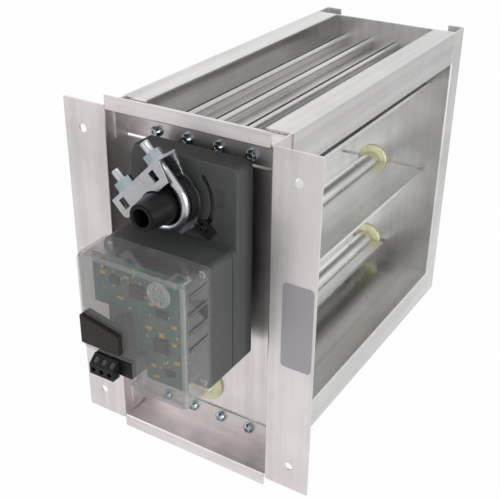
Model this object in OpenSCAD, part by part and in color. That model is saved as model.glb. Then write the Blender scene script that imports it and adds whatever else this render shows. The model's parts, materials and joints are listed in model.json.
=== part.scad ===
/* [Casing] */
// Depth of the casing along the air path
casing_depth = 127; // [110:1:180]
// Height of the air opening between the top and bottom channels
opening_h = 198; // [180:1:230]
// Length of the casing from the pan web to the far web
casing_l = 271; // [200:1:400]
// Height of the top and bottom channels
channel_h = 25.4; // [22:0.1:32]
// Thickness of the folded aluminium sheet
sheet_t = 1.3; // [1:0.1:1.6]
// Wall of the extruded channels
channel_wall = 1.6; // [1.2:0.1:2]
// Floor of the extruded channels
channel_floor = 2.5; // [2:0.1:3]
// Width of the inward lips along the channels
channel_lip = 19; // [8:0.5:22]

/* [Mounting pan] */
// Distance from the flange face back to the pan web
pan_depth = 21.2; // [20:0.1:30]
// Width of each side flange
flange_w = 33.7; // [25:0.1:50]
// Diameter of the four flange holes
flange_hole_d = 6; // [4:0.1:9]
// Distance of the flange holes from the flange's outer edge
flange_hole_side = 14.8; // [8:0.2:22]
// Distance of the flange holes from the flange's ends
flange_hole_end = 19.1; // [10:0.1:40]
// Height of the narrow front lips at the top and bottom
front_lip_h = 10.1; // [6:0.1:16]

/* [Blades] */
// Distance from the outer blade axles to the channels
blade_edge = 19; // [17.5:0.5:21]
// Thickness of the blade sheet
blade_t = 1.6; // [1.2:0.1:2]
// Diameter of the blade axles
axle_d = 12.7; // [10:0.1:13]
// Diameter of the black drive tube
drive_d = 16; // [15:0.1:17]
// Bore of the black drive tube
drive_bore_d = 12; // [9:0.1:12.5]
// How far the drive tube stands in front of the pan web
drive_reach = 65.7; // [60:0.1:80]
// Length of each linkage crank between its centres
crank_l = 18; // [16:0.5:22]

/* [Actuator] */
// Left side of the actuator housing, measured from the drive axis
act_left = 37.5; // [37:0.5:44]
// Right side of the actuator housing, measured from the drive axis
act_right = 43.4; // [37:0.2:48]
// Top of the actuator housing above the drive axis
act_rise = 27.5; // [26:0.5:32]
// Height of the actuator housing
act_h = 140.5; // [138:0.5:150]
// Gap between the housing and the pan web behind it
act_stand = 11.2; // [6:0.2:14]
// Height of the lower block's top below the drive axis
step_drop = 25.1; // [24.6:0.1:30]
// Wall of the moulded housing shells
shell_wall = 2.2; // [1.6:0.1:2.6]
// Wall of the clear cover
cover_wall = 1.8; // [1.2:0.1:2.4]
// Depth of the rear shell
rear_depth = 4; // [3.6:0.1:8]
// Distance from the shell seam to the upper face
face_depth = 13.2; // [13:0.1:16]
// Depth of the middle shell at the lower block
middle_depth = 42; // [40:0.1:46]
// Depth of the clear cover
cover_depth = 28; // [26:0.1:34]

/* [Gears] */
// Pitch radius of the output sector
sector_r = 32; // [31:0.2:33]
// Play of a gear pair, along the pitch circle
tooth_gap = 0.24; // [0.15:0.01:0.35]

/* [Hidden] */

$fn = 64;

// Fits and overruns shared by many pieces
overrun = 1;
run_gap = 0.06;
loose_gap = 0.3;
seam_gap = 0.6;

// Derived casing planes
half_depth = casing_depth / 2;
half_open = opening_h / 2;
half_frame = half_open + channel_h;
blade_pitch = half_open - blade_edge;
pan_leg_out = half_depth - channel_wall / 2;
pan_leg_in = pan_leg_out - sheet_t;
flange_out = pan_leg_in + flange_w;
web_back = pan_depth + sheet_t;
far_face = pan_depth + casing_l;
far_inner = far_face - sheet_t;
web_short = 1.6;
web_seam = 2.2;
web_half = half_open - web_short;
closure_low = web_half + web_seam;
closure_drop = 1.8;
closure_top = half_frame - closure_drop;
closure_side_tab = 12;

// Screw ports of the channels
port_xs_shares = [-3, -1, 1, 3];
port_step = 12;
port_r = 3.6;
port_lift = 0.5;
port_z = half_open + channel_floor + port_r + port_lift;
port_bore_r = 2.05;
port_slot = 2.2;
floor_rib_h = 0.8;
floor_rib_w = 1.4;
floor_rib_xs_shares = [-0.75, -0.32, 0.32, 0.75];

// Casing screws
screw_shank_r = 2;
screw_head_r = 3.9;
screw_head_h = 4;
screw_l = 16;
hex_r = 1.7;
hex_depth = 1.3;
screw_hole_r = screw_shank_r + loose_gap / 2;

// Far channel
far_leg = 19.2;
far_lip = 13.7;

// Axles and the drive tube round the top one
axle_r = axle_d / 2;
drive_r = drive_d / 2;
drive_bore_r = drive_bore_d / 2;

// Bearings
bearing_flange_r = 13.5;
bearing_flange_t = 2.2;
bearing_lip_t = 2.4;
bearing_wall = 2;
bearing_tail = 3.4;
axle_set = 0.1;
axle_front = pan_depth - bearing_flange_t - axle_set;
barrel_r = axle_r + run_gap + bearing_wall;
drive_barrel_r = drive_r + run_gap + bearing_wall;

// Blades
saddle_t = 1.25;
saddle_in_r = axle_r + run_gap;
saddle_out_r = saddle_in_r + saddle_t;
hem_w = 6;
hem_t = 1.2;
edge_gap = 0.4;
stop_gap = 0.8;
outer_half = half_open - blade_pitch - stop_gap;
front_share = 0.5875;
front_half = front_share * blade_pitch;
middle_rear = blade_pitch - front_half - edge_gap;
middle_front = front_half + overrun;
bottom_rear = blade_pitch - middle_front - edge_gap;
blade_start = web_back + bearing_tail + loose_gap;
blade_end = far_inner - bearing_lip_t - 3 * loose_gap;
blade_screw_r = 1.5;
blade_screw_head_r = 3;
blade_screw_head_h = 1.9;
blade_screw_inset = 34;

// Linkage in the far channel
crank_front = far_face + bearing_tail + seam_gap;
crank_t = 3;
crank_wall = 3.4;
crank_boss_r = axle_r + crank_wall;
crank_tip_r = 5;
crank_arm_w = 9;
crank_angle = 45;
crank_fit = run_gap / 2;
crank_tip = crank_l * [cos(crank_angle), sin(crank_angle)];
axle_end = crank_front + crank_t + loose_gap;
link_w = 10;
link_t = 2;
link_front = axle_end + loose_gap;
link_pin_r = 2.5;
clip_r = 4.2;
clip_t = 0.8;
link_pin_end = link_front + link_t + clip_t + overrun;

// Actuator planes
act_back = pan_depth - act_stand;
seam_y = act_back - rear_depth;
face_y = seam_y - face_depth;
middle_y = seam_y - middle_depth;
cover_y = middle_y - cover_depth;
drive_z = blade_pitch;
act_top = drive_z + act_rise;
act_bottom = act_top - act_h;
step_z = drive_z - step_drop;
corner_r = 5;
crown_r = 12;
face_round = 1.6;
cover_round = 4;
back_gap = 0.8;
back_panel_y = act_back - back_gap;
parting_set = 23.5;
parting_y = middle_y + parting_set;
groove_w = 0.8;
groove_depth = 0.6;

// Gear train, with the axes given in the cross-section
sector_teeth = 64;
pinion_teeth = 12;
wheel_teeth = 36;
motor_teeth = 14;
pressure = 20;
addendum_share = 0.9;
root_share = 1.25;
gear_m = 2 * sector_r / sector_teeth;
pinion_r = gear_m * pinion_teeth / 2;
wheel_r = gear_m * wheel_teeth / 2;
motor_gear_r = gear_m * motor_teeth / 2;
mid_axis = [0, drive_z - sector_r - pinion_r];
motor_side = 7;
motor_angle = -acos(motor_side / (wheel_r + motor_gear_r));
motor_axis = mid_axis + (wheel_r + motor_gear_r) * [cos(motor_angle), sin(motor_angle)];
sector_from = -98;
sector_to = 8;
sector_web_w = 3.4;
plate_t = 1.5;
plate_front = face_y + shell_wall + loose_gap;
plate_back = plate_front + plate_t;
wheel_gap = 0.8;
wheel_t = 3;
wheel_front = plate_back + wheel_gap;
wheel_back = wheel_front + wheel_t;
sector_gap = 0.7;
sector_t = 4;
sector_front = wheel_back + sector_gap;
sector_back = sector_front + sector_t;
gear_pin_r = 2;
motor_shaft_r = 1.5;
motor_shaft_l = 5;
motor_bore_l = 10;
motor_r = 14;
motor_l = 20;
motor_flange_t = 1.4;
motor_flange_r = 15.5;

// Hub and pointer ring in front of the upper face
hub_wall = 9;
hub_r = drive_r + hub_wall;
hub_hole_r = hub_r + run_gap;
neck_wall = 3.2;
neck_r = drive_r + neck_wall;
sleeve_wall = 0.7;
sleeve_r = drive_r + sleeve_wall;
ring_lift = 3.8;
ring_t = 1.6;
ring_back = face_y - ring_lift;
ring_front = ring_back - ring_t;
ring_r = 20.2;
tab_angle = -53;
tab_w = 13;
tab_r = 21;
tab_fold = 3.6;
tab_t = 1.8;

// Shaft clamp, laid out along and across the bracket's own direction
clamp_turn = 45;
bracket_t = 1.8;
bracket_depth = 16.5;
bracket_back = ring_front - loose_gap;
bracket_front = bracket_back - bracket_depth;
bracket_from = -26.5;
bracket_to = 25.5;
bracket_skew = 5;
bracket_low = 7;
bracket_high = 22;
bracket_corner = 4;
window_w = 5;
window_h = 7;
u_plane = (bracket_front + bracket_back) / 2;
u_rod_r = 3.2;
u_half = 16.5;
u_centre = u_half - u_rod_r - neck_r - loose_gap;
u_leg_end = 36;
nut_r = 6.3;
nut_t = 5.4;
washer_r = 6.6;
washer_t = 1;
neck_back = bracket_back - 2 * bracket_t;
neck_front = bracket_front + bracket_t + loose_gap;

// Drive tube, its cross pin and the axle end inside it
drive_front = pan_depth - drive_reach;
drive_back = blade_start - 2 * run_gap;
tube_bare = 0.5;
sleeve_front = drive_front + tube_bare;
pin_r = 1.5;
pin_set = 5.2;
pin_y = face_y + pin_set;
socket_l = 32;
socket_back = drive_front + socket_l;
bore_step = 0.5;
axle_stub_front = socket_back + bore_step;
axle_stub_r = drive_bore_r - bore_step;

// End stop and its slot in the upper face
slot_r = 25.2;
slot_w = 3.8;
slot_end_step = 0.1;
slot_from = 42;
slot_to = -46;
stop_angle = -39;
stop_head_r = 2.6;
stop_head_h = 4.6;
stop_plate_in = 3.2;
stop_plate_out = 7.8;
stop_plate_w = 9;
stop_plate_t = 1.8;
stop_shank_r = 1.5;
stop_socket_r = 1;
stop_block_w = 4.4;
stop_block_t = 3.2;
mark_l = 5.6;
mark_depth = 0.3;
mark_w = 0.5;
mark_gap = 1.2;
mark_in_r = slot_r + slot_w / 2 + mark_gap;
mark_count = 10;
mark_step = 1.17;

// Clear cover, its cut-outs and its vents
cover_rise = 1.5;
cover_top = step_z + cover_rise;
notch_w = 40.1;
notch_h = 21.7;
notch_right = notch_w - act_left;
notch_top = act_bottom + notch_h;
vent_drop = 9.9;
vent_step = 12.2;
vent_count = 4;
vent_h = 1.8;
vent_zs = [for (k = [0:vent_count - 1]) cover_top - vent_drop - k * vent_step];
vent_in = 5;
vent_out = 4;
vent_front = cover_y + vent_in;
vent_back = middle_y - vent_out;
hood_t = 1.1;
hood_h = 1.6;
pocket_w = 9;
pocket_h = 5;
window_side = 17.1;
window_drop = 9.9;
window_x = act_right - window_side;
window_z = cover_top - window_drop;
window_r = 8;
window_in_r = 6.4;
window_proud = 1.1;
lens_t = 0.9;

// Release button with its plunger and spring
button_in = 3;
button_w = 30;
button_lift = 3;
button_left_h = 20.4;
button_right_h = 13.8;
button_left = button_in - act_left;
button_right = button_left + button_w;
button_low = notch_top + cover_wall + button_lift;
button_high = button_low + button_left_h;
button_dip = button_low + button_right_h;
button_proud = 3.2;
button_depth = 10;
button_travel = 3;
button_gap = 0.5;
button_front = cover_y - button_proud;
button_back = button_front + button_depth;
plunger_side = 15;
plunger_up = 9.2;
plunger_at = [button_left + plunger_side, button_low + plunger_up];
plunger_bore_r = 2.7;
plunger_r = 4.1;
plunger_l = 12;
guide_in = 4;
guide_r = 2.3;
spring_r = 5.2;
spring_wire_r = 0.4;
spring_turns = 5;
spring_rings = 8;
spring_sides = 6;

// Board inside the clear cover
board_set = 11.5;
board_y = cover_y + board_set;
board_t = 1.6;
board_in_left = 4;
board_in_right = 7.5;
board_in_low = 5.6;
board_in_high = 2.5;
board_left = board_in_left - act_left;
board_right = act_right - board_in_right;
board_low = act_bottom + board_in_low;
board_high = step_z - board_in_high;
board_w = board_right - board_left;
board_h = board_high - board_low;
key_side = 1.5;
key_up = 3.5;
board_notch_x = notch_right + cover_wall + 2 * loose_gap;
board_notch_z = notch_top + cover_wall + 3 * loose_gap;
board_key_x = button_right + key_side;
board_key_z = button_high + key_up;
post_r = 2.4;
post_in = 4;
post_side = 9;
board_posts = [[board_left + post_side, board_high - post_in],
    [board_right - post_in, board_high - post_in], [board_right - post_in, board_low + post_in]];
chip_h = 2.2;
front_parts_shares = [
    [0.1, 0.84, 0.05, 0.03, 0.5], [0.2, 0.78, 0.1, 0.07, 0.8], [0.36, 0.86, 0.05, 0.025, 0.5],
    [0.42, 0.72, 0.14, 0.11, 0.9], [0.3, 0.66, 0.04, 0.025, 0.5], [0.62, 0.7, 0.05, 0.03, 0.5],
    [0.7, 0.62, 0.12, 0.06, 0.7], [0.86, 0.56, 0.05, 0.03, 0.6], [0.58, 0.48, 0.06, 0.03, 0.6],
    [0.72, 0.44, 0.05, 0.045, 0.5], [0.86, 0.4, 0.045, 0.03, 0.5], [0.66, 0.3, 0.15, 0.12, 0.9],
    [0.88, 0.24, 0.05, 0.03, 0.5], [0.62, 0.14, 0.05, 0.03, 0.5], [0.78, 0.1, 0.09, 0.05, 0.7]];
relay_w = 13;
relay_h = 17;
relay_t = 12;
relay_xs_shares = [0.22, 0.48];
relay_z_share = 0.8;
capacitor_r = 5;
capacitor_l = 13;
capacitor_x_share = 0.87;
capacitor_zs_shares = [0.22, 0.7];
dial_r = 4.6;
dial_l = 5;
dial_slot = 1.2;

// Terminal block
pole_pitch = 6.2;
poles = 3;
plug_side_wall = 0.1;
plug_in = 11.2;
plug_up = 8.2;
plug_front_h = 7.2;
plug_h = 12.2;
plug_out = 6.8;
plug_rim = 0.9;
plug_left = plug_in - act_left;
plug_w = poles * pole_pitch + 2 * plug_side_wall;
plug_low = act_bottom + plug_up;
plug_mid = plug_low + plug_front_h;
plug_high = plug_low + plug_h;
plug_front = cover_y - plug_out;
plug_slope_y = cover_y - plug_rim;
plug_nose_l = 9;
nose_inset = 1.6;
socket_in = 0.4;
socket_side = 0.5;
socket_rise = 1.3;
socket_left = plug_left + socket_in;
socket_right = notch_right - socket_side;
socket_low = plug_low + socket_rise;
socket_high = plug_high + loose_gap;
wire_hole_r = 1.7;
wire_hole_l = 3.4;
term_screw_r = 2.1;
term_screw_l = 2.7;
term_screw_set = 0.7;
term_slot_w = 0.6;

// Shell fixings
shell_screw_r = 2.8;
shell_screw_shank_r = 1.4;
shell_screw_head_h = 1.8;
shell_screw_l = 9;
shell_boss_r = 3.4;
shell_screw_side = 6;
shell_screw_up = 5;
shell_screw_spots = [for (x = [shell_screw_side - act_left, act_right - shell_screw_side],
    z = [act_bottom + shell_screw_up, step_z - shell_screw_up]) [x, z]];
mount_dx = 54;
mount_up = 43;
mount_spots = [for (k = [-1, 1]) [k * mount_dx / 2, act_bottom + mount_up]];
mount_screw_r = 2;
mount_screw_l = 8.5;
mount_boss_l = 9.4;
mount_head_r = 3.6;
mount_head_t = 2;
mount_boss_r = 4;
plate_post_r = 3;
plate_post_side = 6;
plate_post_up = 9;
plate_hole_r = slot_r + stop_block_w + loose_gap;
plate_posts = [for (x = [plate_post_side - act_left, act_right - plate_post_side],
    z = [act_bottom + plate_post_up, act_top - plate_post_up]) [x, z]];

// Bare sticker on the right flange
sticker_low = -24;
sticker_h = 62;
sticker_w = 22;
sticker_edge = 1.5;
sticker_left = flange_out - sticker_edge - sticker_w;
sticker_t = 0.2;
sticker_corner = 3;

// Box between two corners
module span(low, high) {
    translate(low)
        cube(high - low);
}

// Round bar along the casing, at a place in the cross-section
module rod(r, from, to, at = [0, 0]) {
    translate([at[0], from, at[1]])
        rotate([-90, 0, 0])
            cylinder(r = r, h = to - from);
}

// Flat outline in the cross-section, drawn out along the casing
module slab(from, to) {
    translate([0, to, 0])
        rotate([90, 0, 0])
            linear_extrude(to - from)
                children();
}

// Piece turned about the drive axis to the clamp's direction
module clamp_frame() {
    translate([0, 0, drive_z])
        rotate([0, -clamp_turn, 0])
            children();
}

// Rectangle with one radius at its upper left corner and another at the rest
module rounded_plan(left, low, right, high, r, crown) {
    union() {
        translate([left + r, low])
            square([right - left - 2 * r, high - low]);
        translate([left, low + r])
            square([r, high - low - r - crown]);
        translate([right - r, low + r])
            square([r, high - low - 2 * r]);
        for (x = [left + r, right - r])
            translate([x, low + r])
                circle(r);
        translate([right - r, high - r])
            circle(r);
        intersection() {
            translate([left + crown, high - crown])
                circle(crown);
            translate([left, high - crown])
                square([crown, crown]);
        }
        difference() {
            translate([left + r, low + r])
                square([crown, high - low - r]);
            translate([left, high - crown])
                square([crown, crown]);
        }
    }
}

// Outline of the whole actuator, made smaller by an inset
module housing_plan(inset) {
    rounded_plan(inset - act_left, act_bottom + inset, act_right - inset, act_top - inset,
        max(corner_r - inset, loose_gap), crown_r - inset);
}

// Outline of the deeper lower block, made smaller by an inset
module block_plan(inset, top) {
    corner = max(corner_r - inset, loose_gap);
    rounded_plan(inset - act_left, act_bottom + inset, act_right - inset, top - inset, corner, corner);
}

// Pan head screw along the casing whose head faces the front
module pan_screw(x, z, y, shank, head_r, head_h, shank_r) {
    difference() {
        union() {
            rod(head_r, y - head_h / 2, y, [x, z]);
            translate([x, y - head_h / 2, z])
                rotate([90, 0, 0])
                    cylinder(r1 = head_r, r2 = head_r * 0.62, h = head_h / 2);
            rod(shank_r, y - head_h / 4, y + shank, [x, z]);
        }
        translate([x, y - head_h - overrun / 4, z])
            rotate([-90, 0, 0])
                cylinder(r = hex_r, h = hex_depth, $fn = 6);
    }
}

// Side pan with its web, two legs and two outward flanges
module side_pan() {
    color([0.83, 0.82, 0.82])
        difference() {
            union() {
                span([-pan_leg_out, pan_depth, -web_half], [pan_leg_out, web_back, web_half]);
                for (side = [0, 1])
                    mirror([side, 0, 0]) {
                        span([pan_leg_in, 0, -half_frame], [pan_leg_out, web_back, half_frame]);
                        span([pan_leg_in, 0, -half_frame], [flange_out, sheet_t, half_frame]);
                    }
            }
            for (x = [-1, 1], z = [-1, 1])
                rod(flange_hole_d / 2, -overrun, sheet_t + overrun,
                    [x * (flange_out - flange_hole_side), z * (half_frame - flange_hole_end)]);
            rod(drive_barrel_r + run_gap, pan_depth - overrun, web_back + overrun, [0, drive_z]);
            for (z = [0, -blade_pitch])
                rod(barrel_r + run_gap, pan_depth - overrun, web_back + overrun, [0, z]);
            for (p = mount_spots)
                rod(mount_screw_r + run_gap, pan_depth - overrun, web_back + overrun, p);
        }
}

// Closing strip over one channel end, drawn for the top
module closure() {
    difference() {
        union() {
            span([-pan_leg_in, pan_depth, closure_low], [pan_leg_in, web_back, closure_top]);
            span([-pan_leg_in + seam_gap, 0, closure_top - sheet_t],
                [pan_leg_in - seam_gap, web_back, closure_top]);
            span([-pan_leg_in + seam_gap, 0, closure_top - sheet_t],
                [pan_leg_in - seam_gap, sheet_t, closure_top - sheet_t + front_lip_h]);
            for (side = [0, 1])
                mirror([side, 0, 0])
                    span([pan_leg_in - sheet_t, pan_depth - closure_side_tab, closure_low],
                        [pan_leg_in, pan_depth, closure_top - 2 * sheet_t]);
        }
        for (k = port_xs_shares)
            rod(screw_hole_r, pan_depth - overrun, web_back + overrun, [k * port_step, port_z]);
    }
}

module top_closure() {
    color([0.8, 0.79, 0.79])
        closure();
}

module bottom_closure() {
    color([0.8, 0.79, 0.79])
        mirror([0, 0, 1])
            closure();
}

// Cross-section of a channel, drawn for the top
module channel_plan() {
    difference() {
        union() {
            difference() {
                translate([-half_depth, half_open])
                    square([casing_depth, channel_h]);
                translate([channel_wall - half_depth, half_open + channel_floor])
                    square([casing_depth - 2 * channel_wall, channel_h - channel_floor - channel_wall]);
                translate([channel_lip - half_depth, half_open + channel_floor])
                    square([casing_depth - 2 * channel_lip, channel_h]);
            }
            for (k = port_xs_shares) {
                translate([k * port_step, port_z])
                    circle(port_r);
                translate([k * port_step - port_bore_r, half_open])
                    square([2 * port_bore_r, port_z - half_open]);
            }
            for (k = floor_rib_xs_shares)
                translate([k * half_depth - floor_rib_w / 2, half_open])
                    square([floor_rib_w, channel_floor + floor_rib_h]);
        }
        for (k = port_xs_shares) {
            translate([k * port_step, port_z])
                circle(port_bore_r);
            translate([k * port_step - port_slot / 2, port_z])
                square([port_slot, port_r + overrun]);
        }
    }
}

module top_channel() {
    color([0.74, 0.74, 0.75])
        slab(web_back, far_inner)
            channel_plan();
}

module bottom_channel() {
    color([0.74, 0.74, 0.75])
        slab(web_back, far_inner)
            mirror([0, 1])
                channel_plan();
}

// Far side channel with its web, legs and inward lips
module far_channel() {
    color([0.8, 0.79, 0.79])
        difference() {
            union() {
                span([-half_depth, far_inner, -half_frame], [half_depth, far_face, half_frame]);
                for (side = [0, 1])
                    mirror([side, 0, 0]) {
                        span([half_depth - sheet_t, far_inner, -half_frame],
                            [half_depth, far_face + far_leg, half_frame]);
                        span([half_depth - far_lip, far_face + far_leg - sheet_t, -half_frame],
                            [half_depth, far_face + far_leg, half_frame]);
                    }
            }
            for (k = [-1, 0, 1])
                rod(barrel_r + run_gap, far_inner - overrun, far_face + overrun, [0, k * blade_pitch]);
            for (k = port_xs_shares, z = [-1, 1])
                rod(screw_hole_r, far_inner - overrun, far_face + overrun, [k * port_step, z * port_z]);
        }
}

// Eight screws through the closing strips into the channel ports
module near_screws() {
    color([0.66, 0.7, 0.74])
        for (k = port_xs_shares, z = [-1, 1])
            pan_screw(k * port_step, z * port_z, pan_depth, screw_l, screw_head_r, screw_head_h,
                screw_shank_r);
}

// Eight screws through the far web into the channel ports
module far_screws() {
    color([0.66, 0.7, 0.74])
        translate([0, 2 * far_face, 0])
            mirror([0, 1, 0])
                for (k = port_xs_shares, z = [-1, 1])
                    pan_screw(k * port_step, z * port_z, far_face, screw_l, screw_head_r, screw_head_h,
                        screw_shank_r);
}

// Flanged bearing with its flange in front of a web and its barrel through it
module bearing(z, flange_from, flange_to, from, to, barrel, bore) {
    difference() {
        union() {
            rod(bearing_flange_r, flange_from, flange_to, [0, z]);
            rod(barrel, from, to, [0, z]);
        }
        rod(bore, from - overrun, to + overrun, [0, z]);
    }
}

module near_bearings() {
    color([0.86, 0.86, 0.62]) {
        bearing(drive_z, pan_depth - bearing_flange_t, pan_depth, pan_depth - bearing_flange_t,
            web_back + bearing_tail, drive_barrel_r, drive_r + run_gap);
        for (z = [0, -blade_pitch])
            bearing(z, pan_depth - bearing_flange_t, pan_depth, pan_depth - bearing_flange_t,
                web_back + bearing_tail, barrel_r, axle_r + run_gap);
    }
}

module far_bearings() {
    color([0.86, 0.86, 0.62])
        for (k = [-1, 0, 1])
            bearing(k * blade_pitch, far_inner - bearing_lip_t, far_inner, far_inner - bearing_lip_t,
                far_face + bearing_tail, barrel_r, axle_r + run_gap);
}

// Blade with a front half towards the outlet, a rear half and a saddle over its axle
module blade(z, front, rear) {
    translate([0, 0, z])
        slab(blade_start, blade_end)
            difference() {
                union() {
                    translate([-rear, -blade_t / 2])
                        square([rear + front, blade_t]);
                    translate([-rear, -blade_t / 2 - hem_t])
                        square([hem_w, hem_t + blade_t / 2]);
                    translate([front - hem_w, -blade_t / 2 - hem_t])
                        square([hem_w, hem_t + blade_t / 2]);
                    intersection() {
                        circle(saddle_out_r);
                        translate([-saddle_out_r, -blade_t / 2])
                            square([2 * saddle_out_r, saddle_out_r + blade_t]);
                    }
                }
                circle(saddle_in_r);
            }
}

// Blade with the holes for its screws
module drilled_blade(z, front, rear) {
    color([0.84, 0.83, 0.83])
        difference() {
            blade(z, front, rear);
            for (y = [blade_start + blade_screw_inset, blade_end - blade_screw_inset])
                translate([0, y, z])
                    cylinder(r = blade_screw_r + run_gap, h = saddle_out_r + overrun);
        }
}

module blade_top() {
    drilled_blade(blade_pitch, front_half, outer_half);
}

module blade_middle() {
    drilled_blade(0, middle_front, middle_rear);
}

module blade_bottom() {
    drilled_blade(-blade_pitch, outer_half, bottom_rear);
}

// Holes that the blade screws pass through
module axle_holes(z) {
    for (y = [blade_start + blade_screw_inset, blade_end - blade_screw_inset])
        translate([0, y, z - axle_r - overrun])
            cylinder(r = blade_screw_r + run_gap, h = axle_d + 2 * overrun);
}

module axle_top() {
    color([0.72, 0.72, 0.73])
        difference() {
            union() {
                rod(axle_stub_r, axle_stub_front, blade_start, [0, drive_z]);
                rod(axle_r, blade_start, axle_end, [0, drive_z]);
            }
            axle_holes(drive_z);
            rod_cross(drive_z);
        }
}

// Hole for the cross pin of the drive tube
module rod_cross(z) {
    translate([0, pin_y, z - hub_r - overrun])
        cylinder(r = pin_r + run_gap, h = 2 * hub_r + 2 * overrun);
}

module axle_middle() {
    color([0.72, 0.72, 0.73])
        difference() {
            rod(axle_r, axle_front, axle_end);
            axle_holes(0);
        }
}

module axle_bottom() {
    color([0.72, 0.72, 0.73])
        difference() {
            rod(axle_r, axle_front, axle_end, [0, -blade_pitch]);
            axle_holes(-blade_pitch);
        }
}

// Two screws from under the axle into the crown of the saddle
module blade_screws(z) {
    color([0.66, 0.68, 0.7])
        for (y = [blade_start + blade_screw_inset, blade_end - blade_screw_inset])
            translate([0, y, z - axle_r - blade_screw_head_h])
                difference() {
                    union() {
                        cylinder(r = blade_screw_head_r, h = blade_screw_head_h);
                        cylinder(r = blade_screw_r, h = blade_screw_head_h + axle_d + saddle_t);
                    }
                    translate([0, 0, -overrun])
                        cylinder(r = hex_r * 0.8, h = overrun + hex_depth * 0.8, $fn = 6);
                }
}

module blade_screws_top() {
    blade_screws(blade_pitch);
}

module blade_screws_middle() {
    blade_screws(0);
}

module blade_screws_bottom() {
    blade_screws(-blade_pitch);
}

// Crank clamped on an axle end, with its pin
module crank(z) {
    color([0.62, 0.63, 0.65])
        translate([0, 0, z])
            union() {
                slab(crank_front, crank_front + crank_t)
                    difference() {
                        union() {
                            circle(crank_boss_r);
                            translate(crank_tip)
                                circle(crank_tip_r);
                            rotate(crank_angle)
                                translate([0, -crank_arm_w / 2])
                                    square([crank_l, crank_arm_w]);
                        }
                        circle(axle_r + crank_fit);
                    }
                rod(link_pin_r, crank_front + crank_t / 2, link_pin_end, crank_tip);
            }
}

module crank_top() {
    crank(blade_pitch);
}

module crank_middle() {
    crank(0);
}

module crank_bottom() {
    crank(-blade_pitch);
}

// Hole radius of the link at each blade, a running fit on the top crank and wider on the other two
function link_hole_r(k) = link_pin_r + (k == 1 ? run_gap : 2 * run_gap);

// Flat bar that joins the three crank pins
module link_bar() {
    color([0.7, 0.71, 0.73])
        slab(link_front, link_front + link_t)
            difference() {
                union() {
                    translate([crank_tip[0] - link_w / 2, crank_tip[1] - blade_pitch])
                        square([link_w, 2 * blade_pitch]);
                    for (k = [-1, 1])
                        translate([crank_tip[0], crank_tip[1] + k * blade_pitch])
                            circle(link_w / 2);
                }
                for (k = [-1, 0, 1])
                    translate([crank_tip[0], crank_tip[1] + k * blade_pitch])
                        circle(link_hole_r(k));
            }
}

// Retaining clips that ride with the link on its three holes
module link_clips() {
    color([0.55, 0.56, 0.58])
        for (k = [-1, 0, 1])
            difference() {
                rod(clip_r, link_front + link_t, link_front + link_t + clip_t,
                    [crank_tip[0], crank_tip[1] + k * blade_pitch]);
                rod(link_hole_r(k), link_front + link_t - overrun, link_front + link_t + clip_t + overrun,
                    [crank_tip[0], crank_tip[1] + k * blade_pitch]);
            }
}

// Rear shell of the actuator, open to the front
module rear_shell() {
    color([0.36, 0.38, 0.4])
        difference() {
            union() {
                difference() {
                    slab(seam_y, act_back)
                        housing_plan(0);
                    slab(seam_y - overrun, back_panel_y - shell_wall)
                        housing_plan(shell_wall);
                    slab(back_panel_y, act_back + overrun)
                        housing_plan(shell_wall);
                }
                for (p = plate_posts)
                    rod(plate_post_r, plate_back, back_panel_y - shell_wall / 2, p);
                for (p = mount_spots)
                    rod(mount_boss_r, back_panel_y - shell_wall / 2, pan_depth, p);
            }
            rod(hub_hole_r, seam_y, act_back + overrun, [0, drive_z]);
            rod(gear_pin_r + run_gap / 2, sector_back, back_panel_y - shell_wall / 4, mid_axis);
            for (p = mount_spots)
                rod(mount_screw_r + run_gap, pan_depth - mount_boss_l, pan_depth + overrun, p);
        }
}

// Slot of the end stop, an arc about the drive axis
module arc_slot(width) {
    difference() {
        circle(slot_r + width / 2);
        circle(slot_r - width / 2);
        rotate(slot_from)
            translate([-slot_r * 2, 0])
                square([slot_r * 4, slot_r * 2]);
        rotate(slot_to)
            translate([-slot_r * 2, -slot_r * 2])
                square([slot_r * 4, slot_r * 2]);
    }
    for (a = [slot_from, slot_to])
        rotate(a)
            translate([slot_r, 0])
                circle(width / 2 - slot_end_step);
}

// Upper part of the housing's outline, whose lower end lies in the block
module face_plan(inset) {
    intersection() {
        housing_plan(inset);
        translate([-act_left, step_z - 2 * corner_r])
            square([act_left + act_right, act_top]);
    }
}

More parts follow.
